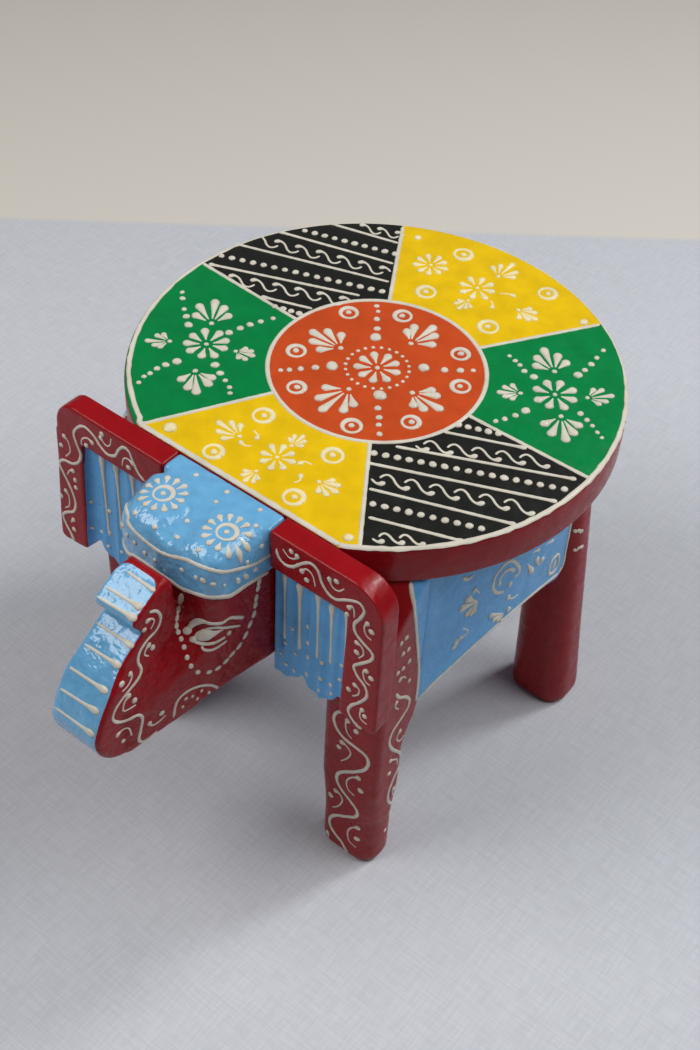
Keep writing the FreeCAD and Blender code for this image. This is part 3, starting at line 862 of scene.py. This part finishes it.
# Seat's ornament, in millimetres from the seat's centre. The rim's line: angle, radius, half width.
seatOrnament = {
    "rim": [(-60, 100.9, 1.1), (0, 100.9, 1.1), (25, 101, 0.95), (50, 101.5, 0.6),
        (150, 101.5, 0.6), (178, 100.9, 0.9), (200, 100.5, 0.95), (222, 100.2, 1),
        (240, 98.9, 1.1)],
    "outline": 0.95, "chordIn": 1.2, "spokeEnd": 100.3,
    "eyes": [(-12.5, 34), (20.5, 29.5), (32.5, 13), (30, -17.5), (14, -34.5), (-17, -31),
        (-31.5, -13.5), (-31, 20.5)],
    "arms": [[(11.2, -12.8, 2.6), (15.3, -19.5, 1.5), (19, -23.5, 1.4), (21.5, -27, 1.3),
        (25, -31, 1.2)], [(-14.5, -11.3, 2.6), (-19, -16.5, 1.6), (-23, -21, 1.4),
        (-26, -24.5, 1.2), (-28.5, -27, 1.1)], [(14.3, 12.5, 2.5), (21.5, 17, 1.6), (26.5, 21, 1.5),
        (30.5, 24.5, 1.2)], [(-12.5, 15, 2.3), (-15.5, 20, 1.4), (-19.5, 25, 1.3),
        (-22.3, 29.5, 1.1), (-25, 32, 1.1)], [(64.5, 50.5, 1.8), (65, 55, 1.4), (65, 60, 1.3),
        (64.5, 65, 1.2), (64, 71, 1.1)], [(51.5, 37.5, 1.8), (46.5, 38, 1.4), (43, 40, 1.2),
        (40, 41, 1.1), (36.5, 42, 1.1)], [(78, 31, 1.3), (82, 29.5, 1.2), (85.5, 28, 1),
        (89, 26, 0.9), (92, 24.5, 0.9)], [(60.5, 18, 1.8), (59, 13, 1.4), (57, 8.5, 1.3),
        (55, 5, 1.1)], [(-60, -22.8, 1.8), (-58.5, -17.5, 1.6), (-57, -13, 1.5), (-55, -8.5, 1.3),
        (-52.5, -3.5, 1.2)], [(-76, -30, 1.7), (-80.5, -26.5, 1.4), (-84.5, -23.5, 1.2),
        (-90, -18.5, 1.2), (-93, -15.5, 1.1)], [(-63.5, -50.5, 2.1), (-65.5, -55, 1.5),
        (-66.5, -59, 1.3), (-66.5, -63, 1.2), (-67, -66, 1), (-66, -70, 1)], [(-50.5, -42, 1.8),
        (-45.5, -44.5, 1.4), (-41, -46.5, 1.2), (-37, -48.5, 1.1), (-34.5, -51, 1)]],
    "sprays": [(1, 21.5, 90, 16), (-0.5, -18, 270, 18), (-19, 0, 178, 17), (20, -3, 0, 15),
        (56, 46, 140, 15), (75, 41, 48, 11), (73, 24.5, -52, 16), (53, 25.5, 215, 10),
        (-69.5, -23, 128, 17), (-50, -30, 15, 9), (-74.5, -43, 215, 10), (-54, -50, -42, 15)],
    "flowers": [(0, 0, 10, 9, 1.85), (64, 34, 9.7, 8, 1.95), (-62, -34.5, 10.2, 9, 1.9)],
    "lines": [(43, -13.5, 73, 0), (34, -32.5, 97, -2), (31, -47, 98, -17), (40.5, -57.5, 93, -37),
        (49.5, -69.5, 83.5, -56.5), (-45.7, 74.5, -79, 65.7), (-38, 60.8, -91, 45.7),
        (-31.5, 49, -99, 26), (-35, 33, -98, 7), (-44.5, 12.5, -66, 4.5)],
    "dotRows": [(45, -6.5, 60, -0.3, 5), (30, -41, 96.5, -9.5, 17), (46.5, -63, 84.5, -47, 10),
        (-41.8, 67, -82.7, 54, 10), (-29.5, 41.6, -98, 15.1, 16), (-46.4, 6.3, -57.2, 3.2, 4)],
    "scrolls": [(44.3, -24.9, 85, -2.2, 6), (42.9, -51, 94.7, -27.2, 7), (60.8, -75, 73, -66.4, 3),
        (-40.6, 54, -96.7, 35.3, 7), (-40.2, 25.4, -85.7, 5.9, 6), (-51.3, 79.6, -66.7, 73.6, 3)],
}

# What is drawn in thin paint on the two yellow fields
yellowOrnament = {
    "drops": [(-38.4, -81.4, 3), (50.4, -82.4, 1.9), (-41.5, 83.7, 1.8), (47.7, 81.6, 1.9)],
    "sprays": [(-15, -67.5, 180, 12), (24, -67, 0, 10), (3.5, -58.5, 92, 8), (2.5, -78, 270, 8),
        (2, 84, 90, 12), (22, 70, 0, 10), (2, 61, 270, 8)],
    "flowers": [(3.5, -67, 7.5, 8, 1.5), (0, 71, 8.5, 8, 1.6), (-25, 71, 8, 9, 1.5)],
    "eyes": [(-16, -52.5), (19, -52.5), (-17, -80.5), (22, -79.5), (-19, 87), (25, 88), (-15, 54),
        (19, 52)],
    "commas": [[(-9, -65), (-10, -62.5), (-13, -61.5)], [(-13.5, -69.5), (-10, -70), (-8, -68.5)],
        [(12, -65), (13, -62), (16, -61.5)], [(16, -68), (18, -71), (17, -73.5)], [(16, 77),
        (12.5, 76.5), (9.5, 74.5)], [(13, 63), (11.5, 66), (9.5, 67.5)]],
}


def onSeat(x, y):
    return fromAbove(x, y + stool["seatY"])


def seatOutline(face):
    o = seatOrnament
    chord = stool["chordY"] - stool["seatY"] + o["chordIn"]
    path, widths = [], []
    for i in range(201):
        turn = -60.2 + 300.4 * i / 200
        radius = along([(a, r) for a, r, _ in o["rim"]], turn) + random.uniform(-0.12, 0.12)
        path.append(heading(math.radians(turn)) * radius)
        half = along([(a, half) for a, _, half in o["rim"]], turn)
        widths.append(half * random.uniform(0.85, 1.15))
    path[0].y = path[-1].y = chord
    lay(face, path, widths)
    line(face, [path[-1], (-20, chord), (20, chord), path[0]], o["outline"] * 1.1)
    dot(face, (path[-1].x + 0.6, chord + 0.4), 1.5)
    middle = fields["middleRadius"]
    lay(face, [heading(math.tau * i / 90) * middle for i in range(91)],
        unsteady(o["outline"] * 0.95, 0.08, 91))
    for start, _ in fields["turns"][1:]:
        way = heading(math.radians(start))
        far = min(o["spokeEnd"], chord / way.y) if way.y < 0 else o["spokeEnd"]
        line(face, [way * middle, way * (middle + far) / 2, way * far], o["outline"] * 0.88)


def seatRelief():
    face = surface(seat, onSeat)
    o = seatOrnament
    seatOutline(face)
    drawAll(dot, face, [heading(math.tau * i / 24) * 13.0 for i in range(24)], 0.8)
    drawAll(eye, face, o["eyes"])
    for arm in o["arms"]:
        for x, y, size in arm:
            dot(face, (x, y), size)
    for x, y, angle, far in o["sprays"]:
        spray(face, (x, y), angle, far, 2.0 if far > 11 else 1.3)
    for x, y, *shape in o["flowers"]:
        flower(face, (x, y), *shape)
    for measured in o["lines"]:
        start, end = straight(*measured)
        line(face, [start, (start + end) / 2, end], 0.72, drop=1.15)
    for measured in o["dotRows"]:
        dotRow(face, *straight(*measured), 1.45)
    for measured in o["scrolls"]:
        runningScroll(face, *straight(*measured))
    layRelief(face, "seatRelief")

    thin = surface(seat, onSeat)
    o = yellowOrnament
    for x, y, size in o["drops"]:
        dot(thin, (x, y), size)
    drawAll(eye, thin, o["eyes"], 3.8, 0.9)
    for x, y, angle, far in o["sprays"]:
        spray(thin, (x, y), angle, far, 1.4 if far > 9 else 1.1)
    for x, y, *shape in o["flowers"]:
        flower(thin, (x, y), *shape)
    drawAll(comma, thin, o["commas"], 1.25)
    layRelief(thin, "yellowFieldRelief", coneYellow)


seatRelief()
print("seat painted")

# Ears' ornament, by distance from the middle and height. Drips: distance, top and low end.
earOrnament = {
    "left": {
        "scroll": [(30, 184), (31, 180.5), (34, 178.5), (38, 180), (42, 184.5), (46, 187.5),
            (49.5, 186), (51.5, 181), (54.5, 177.5), (58, 176.8), (62, 179.5), (66, 181.8),
            (69, 182.5), (71, 180), (69.5, 175), (67, 170), (68, 165.5), (72, 162.5), (76, 160),
            (75.5, 156), (71.5, 151), (68, 146.5), (70, 142.5), (74, 139), (75, 134), (72, 128),
            (68, 122.5), (67, 118), (70, 114), (74, 112)],
        "commas": [[(40, 188), (39, 185), (36, 183.5), (33, 186)], [(41.5, 179.5), (44, 183),
            (47, 182), (48.5, 177)], [(54.5, 186.5), (56, 182.5), (59, 182), (61.5, 185)],
            [(63.5, 176), (65.5, 178.5), (66.5, 177), (66.7, 173.5)], [(73.5, 175.5), (71.5, 172),
            (72.5, 168), (75, 167)], [(67.5, 161), (71, 160), (72, 156.5), (70, 153)], [(75, 149),
            (72.5, 147), (73.5, 142.5), (76, 141.5)], [(68, 136.5), (71, 135.5), (71, 132),
            (68.5, 129)], [(74, 125.5), (72.5, 122), (73, 118.5), (76, 117.5)]],
        "dots": [(37, 187.5), (44.5, 177.5), (58, 186.5), (63.5, 172.8), (74.8, 171.5), (69, 155.5),
            (76.3, 146), (66.5, 131.5), (74.8, 121.5)],
        "drips": [(31.5, 170, 132), (39, 169.5, 131), (47.5, 170.5, 132), (54, 168, 134),
            (61, 170, 139)],
        "specks": [(43, 147), (35.5, 140), (43.5, 138), (60, 137), (51, 132), (44, 130),
            (32.5, 130), (37.5, 127), (59.5, 128), (50.5, 122), (55.5, 122), (43.5, 119), (33, 117),
            (37, 116), (56, 117), (50, 114.5), (30, 121)],
    },
    "right": {
        "scroll": [(36.5, 176), (39, 177.5), (42, 182), (44, 187), (47, 187.5), (50, 184),
            (52, 180), (56, 178), (60, 180), (63, 183.5), (68, 185.5), (72, 183), (75, 178),
            (74, 173), (72.5, 168), (74, 163), (78, 159.5), (83, 158.5), (86, 155), (84, 150),
            (80.5, 143), (79, 136), (81, 130), (85, 127), (88, 123.5), (87, 119), (84, 114),
            (83, 110.5)],
        "commas": [[(60, 186), (57, 182.5), (54.5, 184), (53.5, 188)], [(41.5, 181), (45, 182.5),
            (47.5, 181), (48.5, 177)], [(63.5, 178.5), (67, 180), (70.5, 177.5), (71.3, 172.8)],
            [(82, 173.5), (79, 171), (78.5, 166), (81.5, 161.5)], [(77, 155.5), (80, 154.5),
            (82, 151)], [(85, 141), (82.8, 138), (83.3, 132), (86, 129)], [(81, 125.5),
            (83.5, 122)]],
        "dots": [(58.5, 187.5), (45, 178), (68.3, 175.5), (83.5, 166.5), (77.5, 150.5), (77.7, 146),
            (87.5, 135), (82, 118.5)],
        "drips": [(31.5, 171, 136), (39.5, 172, 134), (47, 172.5, 133), (55.5, 172.5, 133),
            (63.5, 172, 124)],
        "specks": [(72.5, 139), (62.5, 139.5), (63.5, 126.5), (68.5, 123.5), (73.5, 123), (50, 139),
            (44, 128), (34, 127), (57, 119), (39, 117), (65, 117)],
    },
}


# A drip: a round head at the top, a neck that thins over about 10 mm, then an even thread
def drip(face, x, top, low):
    shares = (0, 0.02, 0.05, 0.1, 0.17, 0.26, 0.4, 0.6, 0.8, 0.96, 1.0)
    halves = (0.3, 1.0, 1.5, 1.45, 1.0, 0.78, 0.62, 0.55, 0.55, 0.8, 0.4)
    lay(face, [(x + 0.5 * t, top + (low - top) * t) for t in shares],
        [half * random.uniform(0.95, 1.05) for half in halves])


def earRelief(name, ear):
    side = earShapes[name]["side"]
    face = surface(ear, lambda x, z: fromFront(side * x, z))
    o = earOrnament[name]
    line(face, o["scroll"], 0.72, drop=1.0)
    drawAll(comma, face, o["commas"], 1.3)
    drawAll(dot, face, o["dots"], 1.2)
    for measured in o["drips"]:
        drip(face, *measured)
    drawAll(dot, face, o["specks"], 1.0)
    layRelief(face, name + "EarRelief")


earRelief("left", leftEar)
earRelief("right", rightEar)
print("ears painted")

# Head's ornament: the near cheek as photographed, by y and z on the plane x = 22, mirrored to the
# far side. Suns: place, radius and count of petals.
headOrnament = {
    "suns": [(-17.9, -69.3, 3.75, 13), (13.2, -68.8, 3.75, 13)],
    "capDots": [(-16.4, -52.9), (-1.5, -52.1), (-1.1, -58.7), (14.1, -51.2), (-2.5, -73),
        (-9.3, -82.9), (0.3, -81.4), (10.4, -81.2), (18.3, -58.4), (26.6, -64.7), (27.7, -74.2),
        (-19.8, -82.4)],
    "bandDots": [(-21.2, 184), (-19, 179.7), (-15.1, 178.1), (-10.2, 176.1), (-5.1, 175.8),
        (8.5, 180.1), (15.4, 181), (18.8, 181.9), (23.7, 183.5), (29, 186.6), (35.6, 193.8),
        (39.4, 198.8), (43.7, 205.4)],
    "brow": [(-101, 168), (-97, 168.7), (-93, 166.5), (-88, 160.5), (-82, 155.5), (-78, 154.7),
        (-74, 151.5), (-70, 148)],
    "browStroke": [(-100.5, 167.8), (-97.5, 168.9), (-94, 167.3), (-90.5, 163.6)],
    "browHalves": [0.9, 1, 1.2, 1.35, 1.45, 1.5, 1.45, 1.3, 1.1, 0.95, 0.85, 0.8, 0.7],
    "lid": [(-97.5, 160.5), (-95, 161.3), (-90, 159.2), (-85, 155.5), (-81, 151.8), (-76, 148),
        (-72, 145)],
    "lowLid": [(-98, 160.3), (-95.5, 156.5), (-91, 151.5), (-86, 147.8), (-80.5, 146)],
    "under": [(-93.5, 152.5), (-92, 149), (-88, 145.3), (-84, 143.7), (-79.5, 143)],
    "iris": [(-96.3, 159.8), (-92, 157.6), (-87, 154), (-81.5, 151.2)],
    "irisHalves": [0.6, 1.5, 2.2, 2.7, 2.9, 2.7, 2.2, 1.7, 1.2, 0.8, 0.4, 0.3],
    "dashes": [(-102.7, 186.9), (-104.5, 182.6), (-105.2, 179), (-105.7, 175.2), (-105.1, 171.2),
        (-103.8, 166.2), (-102.6, 160.5), (-101.3, 153.3), (-99.5, 146.6), (-96, 139.7), (-90, 134),
        (-85, 131.6), (-80.4, 131.6), (-76.9, 132.6), (-72.8, 133.6), (-69, 136.7), (-66.3, 140.9),
        (-64, 144.7), (-63.2, 149.4), (-62.6, 152.9), (-61.6, 157.7), (-61, 160.6)],
    "mouth": [(-110, 126), (-109, 131), (-107, 134), (-102, 134), (-96, 131), (-90, 126),
        (-86.5, 121.5), (-84.5, 118)],
    "mouthDots": [(-105, 127.5), (-103, 130.5), (-99.5, 128.5), (-97, 124.5), (-94.5, 127),
        (-90.5, 122), (-88.5, 119), (-92.5, 119.5)],
    "scroll": [(-109, 178), (-105.5, 175.5), (-103.7, 170.5), (-106, 166), (-111.5, 164.5),
        (-115.5, 161.5), (-116.5, 157), (-115.3, 152), (-117, 148.3), (-122.5, 145.8),
        (-128.5, 143), (-131.3, 138.5), (-129, 133.8), (-124, 130.2), (-119, 128), (-116.8, 124),
        (-118.3, 118), (-119.6, 113), (-117, 109.7), (-110, 108.6)],
    "commas": [[(-111.5, 174.5), (-108.5, 174), (-107, 171.5), (-109, 168.8)], [(-109.5, 161.8),
        (-112, 160.5), (-113, 158), (-111.2, 155.6)], [(-121.5, 155.5), (-120, 152.5),
        (-122, 149.3), (-125.3, 148.5)], [(-121.5, 143.8), (-125, 141.5), (-125.5, 137),
        (-119.5, 134.8)], [(-131, 126.7), (-127, 127.3), (-124, 124.8), (-123, 119.6)],
        [(-113.8, 118.5), (-112.5, 115), (-109, 113.4), (-104.8, 113.6)]],
    "scrollDots": [(-112.3, 171.3), (-108.8, 158.3), (-125.2, 152.8), (-120, 138), (-127.5, 120.8),
        (-106.8, 117)],
    # Lines across the raised tip, by x and y on the plane z = 179, then down the trunk's front, by
    # x and how far down; each ends in a drop of its own half width
    "tipLines": [(-6.7, -100.6, 7.5, -101.1, 1), (-7, -110.9, 9.7, -110, 1.6),
        (-6.4, -116.2, 11.9, -115.1, 1.6)],
    "trunkLines": [(-9.9, 7.2, 8.4, 6.9, 1.5), (-10.7, 16.7, 7.1, 16, 1.5),
        (-14.9, 27.6, 6.8, 26.9, 1.5), (-14.5, 36.7, 7.1, 35.4, 1.5),
        (-11.7, 43.8, 9.5, 43.7, 1.5)],
}


# A line across the trunk that swells into a drop at its near end
def crossLine(face, start, end, drop):
    shares = (0, 0.12, 0.3, 0.48, 0.62, 0.74, 0.82, 0.88, 0.94, 0.985, 1.0)
    halves = (0.35, 0.6, 0.62, 0.62, 0.7, 0.85) + tuple(drop * t for t in (0.8, 1, 0.95, 0.6, 0.2))
    lay(face, [start.lerp(end, t) for t in shares], halves)


def cheekRelief():
    o = headOrnament
    cheek = surface(head, fromShot(0, 22.0))
    line(cheek, o["brow"], 0.8)
    dot(cheek, (-100.5, 167.8), 2.0)
    lay(cheek, flowing(o["browStroke"], 1.2), o["browHalves"])
    line(cheek, o["lid"], 0.65)
    line(cheek, o["lowLid"], 0.68)
    line(cheek, o["under"], 0.6)
    dot(cheek, (-97.8, 160.4), 1.5)
    dot(cheek, (-78.3, 146.4), 1.1)
    lay(cheek, flowing(o["iris"], 1.6), o["irisHalves"])
    dashes = [Vector(at) for at in o["dashes"]]
    for i, at in enumerate(dashes):
        way = (dashes[min(i + 1, len(dashes) - 1)] - dashes[max(i - 1, 0)]).normalized()
        long, wide = (1.9, 1.05) if i else (2.3, 1.3)
        dash(cheek, at, way * long, wide)
    line(cheek, o["mouth"], 0.62)
    drawAll(dot, cheek, o["mouthDots"], 0.8)
    trunk = otherAim(cheek, fromShot(0, 12.2))
    line(trunk, o["scroll"], 0.72)
    drawAll(comma, trunk, o["commas"], 1.3)
    drawAll(dot, trunk, o["scrollDots"], 1.2)
    fullerFarSide(layRelief(cheek, "cheekRelief", sides=(1, -1)))


def capRelief():
    o = headOrnament
    cap = surface(head, fromAbove)
    for x, y, radius, count in o["suns"]:
        centre, _ = touched(head, fromShot(2, 188)(x, y))
        centre = centre.xy / mm
        ring(cap, centre, radius, 0.75, 0.45, math.radians(70))
        dot(cap, centre, 1.15)
        for i in range(count):
            way = heading(math.tau * i / count + 0.2)
            far = radius + random.uniform(5.4, 6.1)
            petal(cap, centre + way * (radius + 1.6), centre + way * far, 1.35)
    drawAll(dot, otherAim(cap, fromShot(2, 186.5)), o["capDots"], 1.0)
    for key, half, by in (("upperLine", 0.8, 0.15), ("lowerLine", 0.95, 0.12)):
        ridgeOn(cap, bandLines[key], unsteady(half, by, len(bandLines[key])))
    drawAll(dot, otherAim(cap, fromShot(1, headShape["bandY"])), o["bandDots"], 1.1)
    for measured in o["tipLines"]:
        crossLine(otherAim(cap, fromShot(2, 179)), *straight(*measured))

    def trunkFront(x, far):  # the trunk's front slopes down and away from its tip
        at = Vector((x, -110 - 0.65 * far, 166 - 0.76 * far))
        return eyePoint, (at - eyePoint).normalized()

    for measured in o["trunkLines"]:
        crossLine(otherAim(cap, trunkFront), *straight(*measured))
    layRelief(cap, "capRelief")


cheekRelief()
capRelief()
print("head painted")

# Front legs' ornament: the front face by x and z, the outer face by y and z
legOrnament = {
    "front": [(66, 112), (61.5, 107), (60.5, 102), (63, 98), (67, 96.5)],
    "frontLong": [(57.5, 100), (54, 96), (53, 91), (55, 86), (59, 83), (65, 82), (70, 81),
        (71.7, 77), (70, 71), (65, 65), (60, 60.5), (56.7, 56), (56.5, 51), (59, 47), (64, 43),
        (68, 39), (67.5, 34), (62, 29), (57, 25), (54, 20), (54, 15), (57, 11), (61, 8),
        (63.3, 4.5), (64.5, 2.5)],
    "frontCommas": [[(67.5, 109), (65.7, 106), (66.3, 102.5), (69, 101.5)], [(60.5, 97), (59, 93),
        (60, 88), (62.5, 86)], [(56.5, 79.5), (60, 79), (62.5, 76), (61, 71), (58, 66.5)],
        [(68.5, 63.5), (64, 60), (61.5, 55), (62.5, 50), (66, 48.5)], [(55, 43.5), (58.5, 42.5),
        (60, 39), (58, 33), (55, 29.5)], [(70, 27.5), (66, 24), (64, 19), (65, 13), (69, 11)],
        [(52.5, 8), (53.5, 5), (53, 2.5)]],
    "frontDots": [(68.3, 105.5), (64.5, 92.5), (56.5, 75), (69, 55), (53.7, 37.5), (69, 18)],
    "sideDots": [(-42, 149), (-38.8, 149.5), (-40, 141), (-36.5, 140.5), (-42.3, 131.5),
        (-38.8, 131), (-35, 132), (-41, 63.5), (-36.5, 28.5), (-39.5, 19), (-33.5, 118.5)],
    "side": [(-42, 118), (-39, 113), (-34.5, 109), (-31.5, 104), (-32.5, 99.5), (-37.5, 96),
        (-42, 93), (-43.3, 88), (-41, 81), (-37, 75), (-33.8, 70), (-32.8, 66)],
    "sideLow": [(-33.5, 61), (-37.5, 55), (-40, 48), (-39.2, 41), (-36.3, 36), (-33.3, 32.5)],
    "sideCommas": [[(-41.5, 125), (-38.5, 125.5), (-36, 122.5)], [(-41, 113), (-41.3, 109),
        (-39, 105.5)], [(-35.5, 89), (-38, 85), (-35.5, 80.5), (-32.5, 81.5)], [(-42, 73),
        (-39, 71), (-36, 68), (-35.5, 64)], [(-36.5, 48.5), (-36.3, 43), (-34, 39)]],
    "creamHeights": (173, 165, 155, 146, 138, 130, 120, 110, 103, 98.5),
    "rearMarks": [[(104.4, 91.6), (107.1, 87.7), (109.4, 87.2), (112.2, 83.8), (114.4, 83.7)],
        [(108.5, 75.2), (111.6, 71.6), (113.9, 71.5), (118.7, 68.7)]],
}


def legRelief():
    o = legOrnament
    face = surface(legs["front_left"], fromFront)
    line(face, o["front"], 0.85, drop=1.3)
    line(face, o["frontLong"], 0.85)
    drawAll(comma, face, o["frontCommas"], 1.5)
    drawAll(dot, face, o["frontDots"], 1.4)
    outer = otherAim(face, fromLeft)
    line(outer, o["side"], 0.8, drop=1.1)
    line(outer, o["sideLow"], 0.8, drop=1.1)
    drawAll(comma, outer, o["sideCommas"], 1.3)
    drawAll(dot, outer, o["sideDots"], 1.15)
    line(outer, [(along(legShape["creamHits"], z), z) for z in o["creamHeights"]], 0.85)
    rear = surface(legs["rear_left"], fromShot(0, 70))
    for points in o["rearMarks"]:
        line(rear, points, 0.8, drop=1.1)
    for end, laid in (("front", face), ("rear", rear)):
        layRelief(laid, end + "_leftLegRelief")
        layRelief(laid, end + "_rightLegRelief", sides=(-1,))


legRelief()

# Side panels' ornament as photographed, by y and z on the plane x = 72, and their borders by their
# own y and z. Petals: root, tip and half width.
panelOrnament = {
    "border": [(-25.5, 97.9), (-15, 101.6), (0, 105.1), (12, 107), (25, 107.6), (40, 106.8),
        (52, 104.9), (62, 102.4), (68, 100.6)],
    "rearBorder": [(68.5, 100.4), (71.5, 102), (72.3, 106), (71.5, 130), (71, 150), (70.5, 172)],
    "petals": [((19.7, 116.3), (9.4, 127.3), 1.9), ((19.7, 116.3), (5.2, 124.3), 2.1),
        ((19.7, 116.3), (10.3, 115.4), 1.6), ((20, 116), (14.5, 111.6), 1.5), ((20, 116),
        (17.7, 110.5), 1.2), ((44.8, 86.8), (32, 96.4), 1.5), ((44.8, 86.8), (35.1, 90.4), 1.4),
        ((44.8, 86.8), (39.1, 86), 1.3), ((44.8, 86.8), (42.7, 83), 1.1), ((59.3, 107),
        (65.2, 96.6), 1.8), ((70.5, 96.5), (66.8, 104.3), 1.8), ((70.5, 96.5), (74, 99.6), 1.6),
        ((61.4, 111.8), (68.5, 108.6), 0.9), ((73.8, 107.1), (80.7, 104.8), 0.9)],
    "commas": [[(14, 128.3), (17.5, 125.3), (20, 121.3)], [(7.8, 103.2), (12.1, 100.6),
        (15.4, 101.5), (10.3, 107.6)], [(5.2, 100.7), (6.4, 102), (7.8, 103.2)], [(45.5, 97),
        (50.2, 91.8), (55.7, 89.8)]],
    "lines": [[(49, 106.7), (52.6, 106.9), (50.9, 112.5), (44.7, 120.8), (38.4, 124.2),
        (35.3, 123.8), (31.9, 122.6), (30.8, 116.7), (34.5, 109.4), (41.3, 103.9)], [(36.5, 111.9),
        (36.3, 117.3), (40.2, 118.2), (45.3, 115.1), (48, 111.2)], [(82.5, 81.6), (81.8, 87.5),
        (84.9, 89.9), (89.1, 88.5), (90.4, 81.4), (87.6, 78.5), (83.8, 79.7), (82.5, 81.6)],
        [(85.5, 82.2), (87.2, 86.4)], [(4.9, 143.7), (8.5, 139.7), (12.4, 139.1)]],
    "dots": [(5.2, 100.7), (48.8, 86), (45.9, 105)],
}


def panelRelief():
    o = panelOrnament
    face = surface(panels["left_side_panel"], fromLeft)
    line(face, o["border"], 0.85)
    line(face, o["rearBorder"], 0.85)
    photographed = otherAim(face, fromShot(0, 72))
    for measured in o["petals"]:
        petal(photographed, *measured)
    drawAll(comma, photographed, o["commas"], 1.7)
    drawAll(line, photographed, o["lines"], 0.9)
    drawAll(dot, photographed, o["dots"], 1.5)
    layRelief(face, "left_side_panelRelief")
    layRelief(face, "right_side_panelRelief", sides=(-1,))


panelRelief()
print("legs and panels painted")


# Floor: pale bluish cloth with threads about 1.2 mm apart, up to a warmer sheet behind, whose foot
# runs through two places given in metres
floorShape = {"threadMm": 1.2, "sheetFoot": ((-0.413, 0.182), (-0.049, 0.475)), "blend": 0.003}


def pressedCloth(name):
    material, tree, shader, place = startMaterial(name)
    threads = []
    for stretch in ((0.08, 1.0, 1.0), (1.0, 0.08, 1.0)):
        drawn = addNode(tree, "Mapping", {"Vector": place, "Scale": stretch}).outputs[0]
        threads.append(addNode(tree, "TexNoise", {
            "Vector": drawn, "Scale": 1 / (floorShape["threadMm"] * mm),
            "Detail": 2.0}).outputs["Fac"])
    weave = addNode(tree, "Math", {0: threads[0], 1: threads[1]},
                    operation="MULTIPLY").outputs[0]
    start, end = (Vector(at) for at in floorShape["sheetFoot"])
    way = (end - start).normalized()
    across = Vector((-way.y, way.x))
    foot = start.dot(across)
    past = addNode(tree, "VectorMath", {0: place, 1: (*across, 0)},
                   operation="DOT_PRODUCT").outputs["Value"]
    behind = addNode(tree, "MapRange", {
        "Value": past, "From Min": foot - floorShape["blend"],
        "From Max": foot + floorShape["blend"]}).outputs[0]
    woven = addNode(tree, "MapRange", {
        "Value": weave, "From Min": 0.15, "From Max": 0.35}).outputs[0]
    cloth = addNode(tree, "Mix", {0: woven, 6: colour("#c6c9d0"), 7: colour("#cfd2d9")},
                    data_type="RGBA").outputs[2]
    both = addNode(tree, "Mix", {0: behind, 6: cloth, 7: colour("#dcd6cd")},
                   data_type="RGBA").outputs[2]
    relief = addNode(tree, "Bump", {
        "Height": weave, "Strength": 0.25, "Distance": 0.2 * mm}).outputs[0]
    setInputs(tree, shader, {"Base Color": both, "Normal": relief, "Roughness": 0.85})
    return material


deselectAll()
bpy.ops.mesh.primitive_plane_add(size=6, location=(0, 0, 0))
floor = bpy.context.active_object
floor.name = "floorSheet"
floor.data.materials.append(pressedCloth("pressedCloth"))

# Direction, power, size and tint of each light, at one distance from the middle of the stool
studio = {
    "middle": (0, 0, 0.1), "far": 1.3, "worldTint": (0.97, 0.99, 1.03, 1), "worldStrength": 0.1,
    "lights": {
        "windowKey": ((0.6, 0.3, 1.0), 6.3, 0.8, (1.0, 0.99, 0.97)),
        "backWindow": ((0.4, 0.8, 1.0), 5.6, 0.25, (0.97, 0.99, 1.0)),
        "frontFill": ((-0.5, -0.6, 1.0), 9.3, 0.8, (1.0, 0.98, 0.96)),
    },
}
for name, (way, power, size, tint) in studio["lights"].items():
    light = bpy.data.lights.new(name, "AREA")
    light.shape = "DISK"
    light.size = size
    light.energy = power
    light.color = tint
    holder = bpy.data.objects.new(name, light)
    bpy.context.scene.collection.objects.link(holder)
    outward = Vector(way).normalized() * studio["far"]
    holder.location = Vector(studio["middle"]) + outward
    holder.rotation_euler = (-outward).to_track_quat("-Z", "Y").to_euler()

world = bpy.data.worlds.new("studioGrey")
world.use_nodes = True
setInputs(world.node_tree, world.node_tree.nodes["Background"], {
    "Color": studio["worldTint"], "Strength": studio["worldStrength"]})
bpy.context.scene.world = world
bpy.context.scene.view_settings.view_transform = "Standard"

cameraData = bpy.data.cameras.new("photoCamera")
cameraData.lens = shot["lens"]
cameraData.sensor_width = 36
camera = bpy.data.objects.new("photoCamera", cameraData)
bpy.context.scene.collection.objects.link(camera)
axes = Matrix((shot["right"], shot["up"], [-v for v in shot["forward"]])).transposed()
camera.matrix_world = Matrix.Translation(shot["place"]) @ axes.to_4x4()
bpy.context.scene.camera = camera
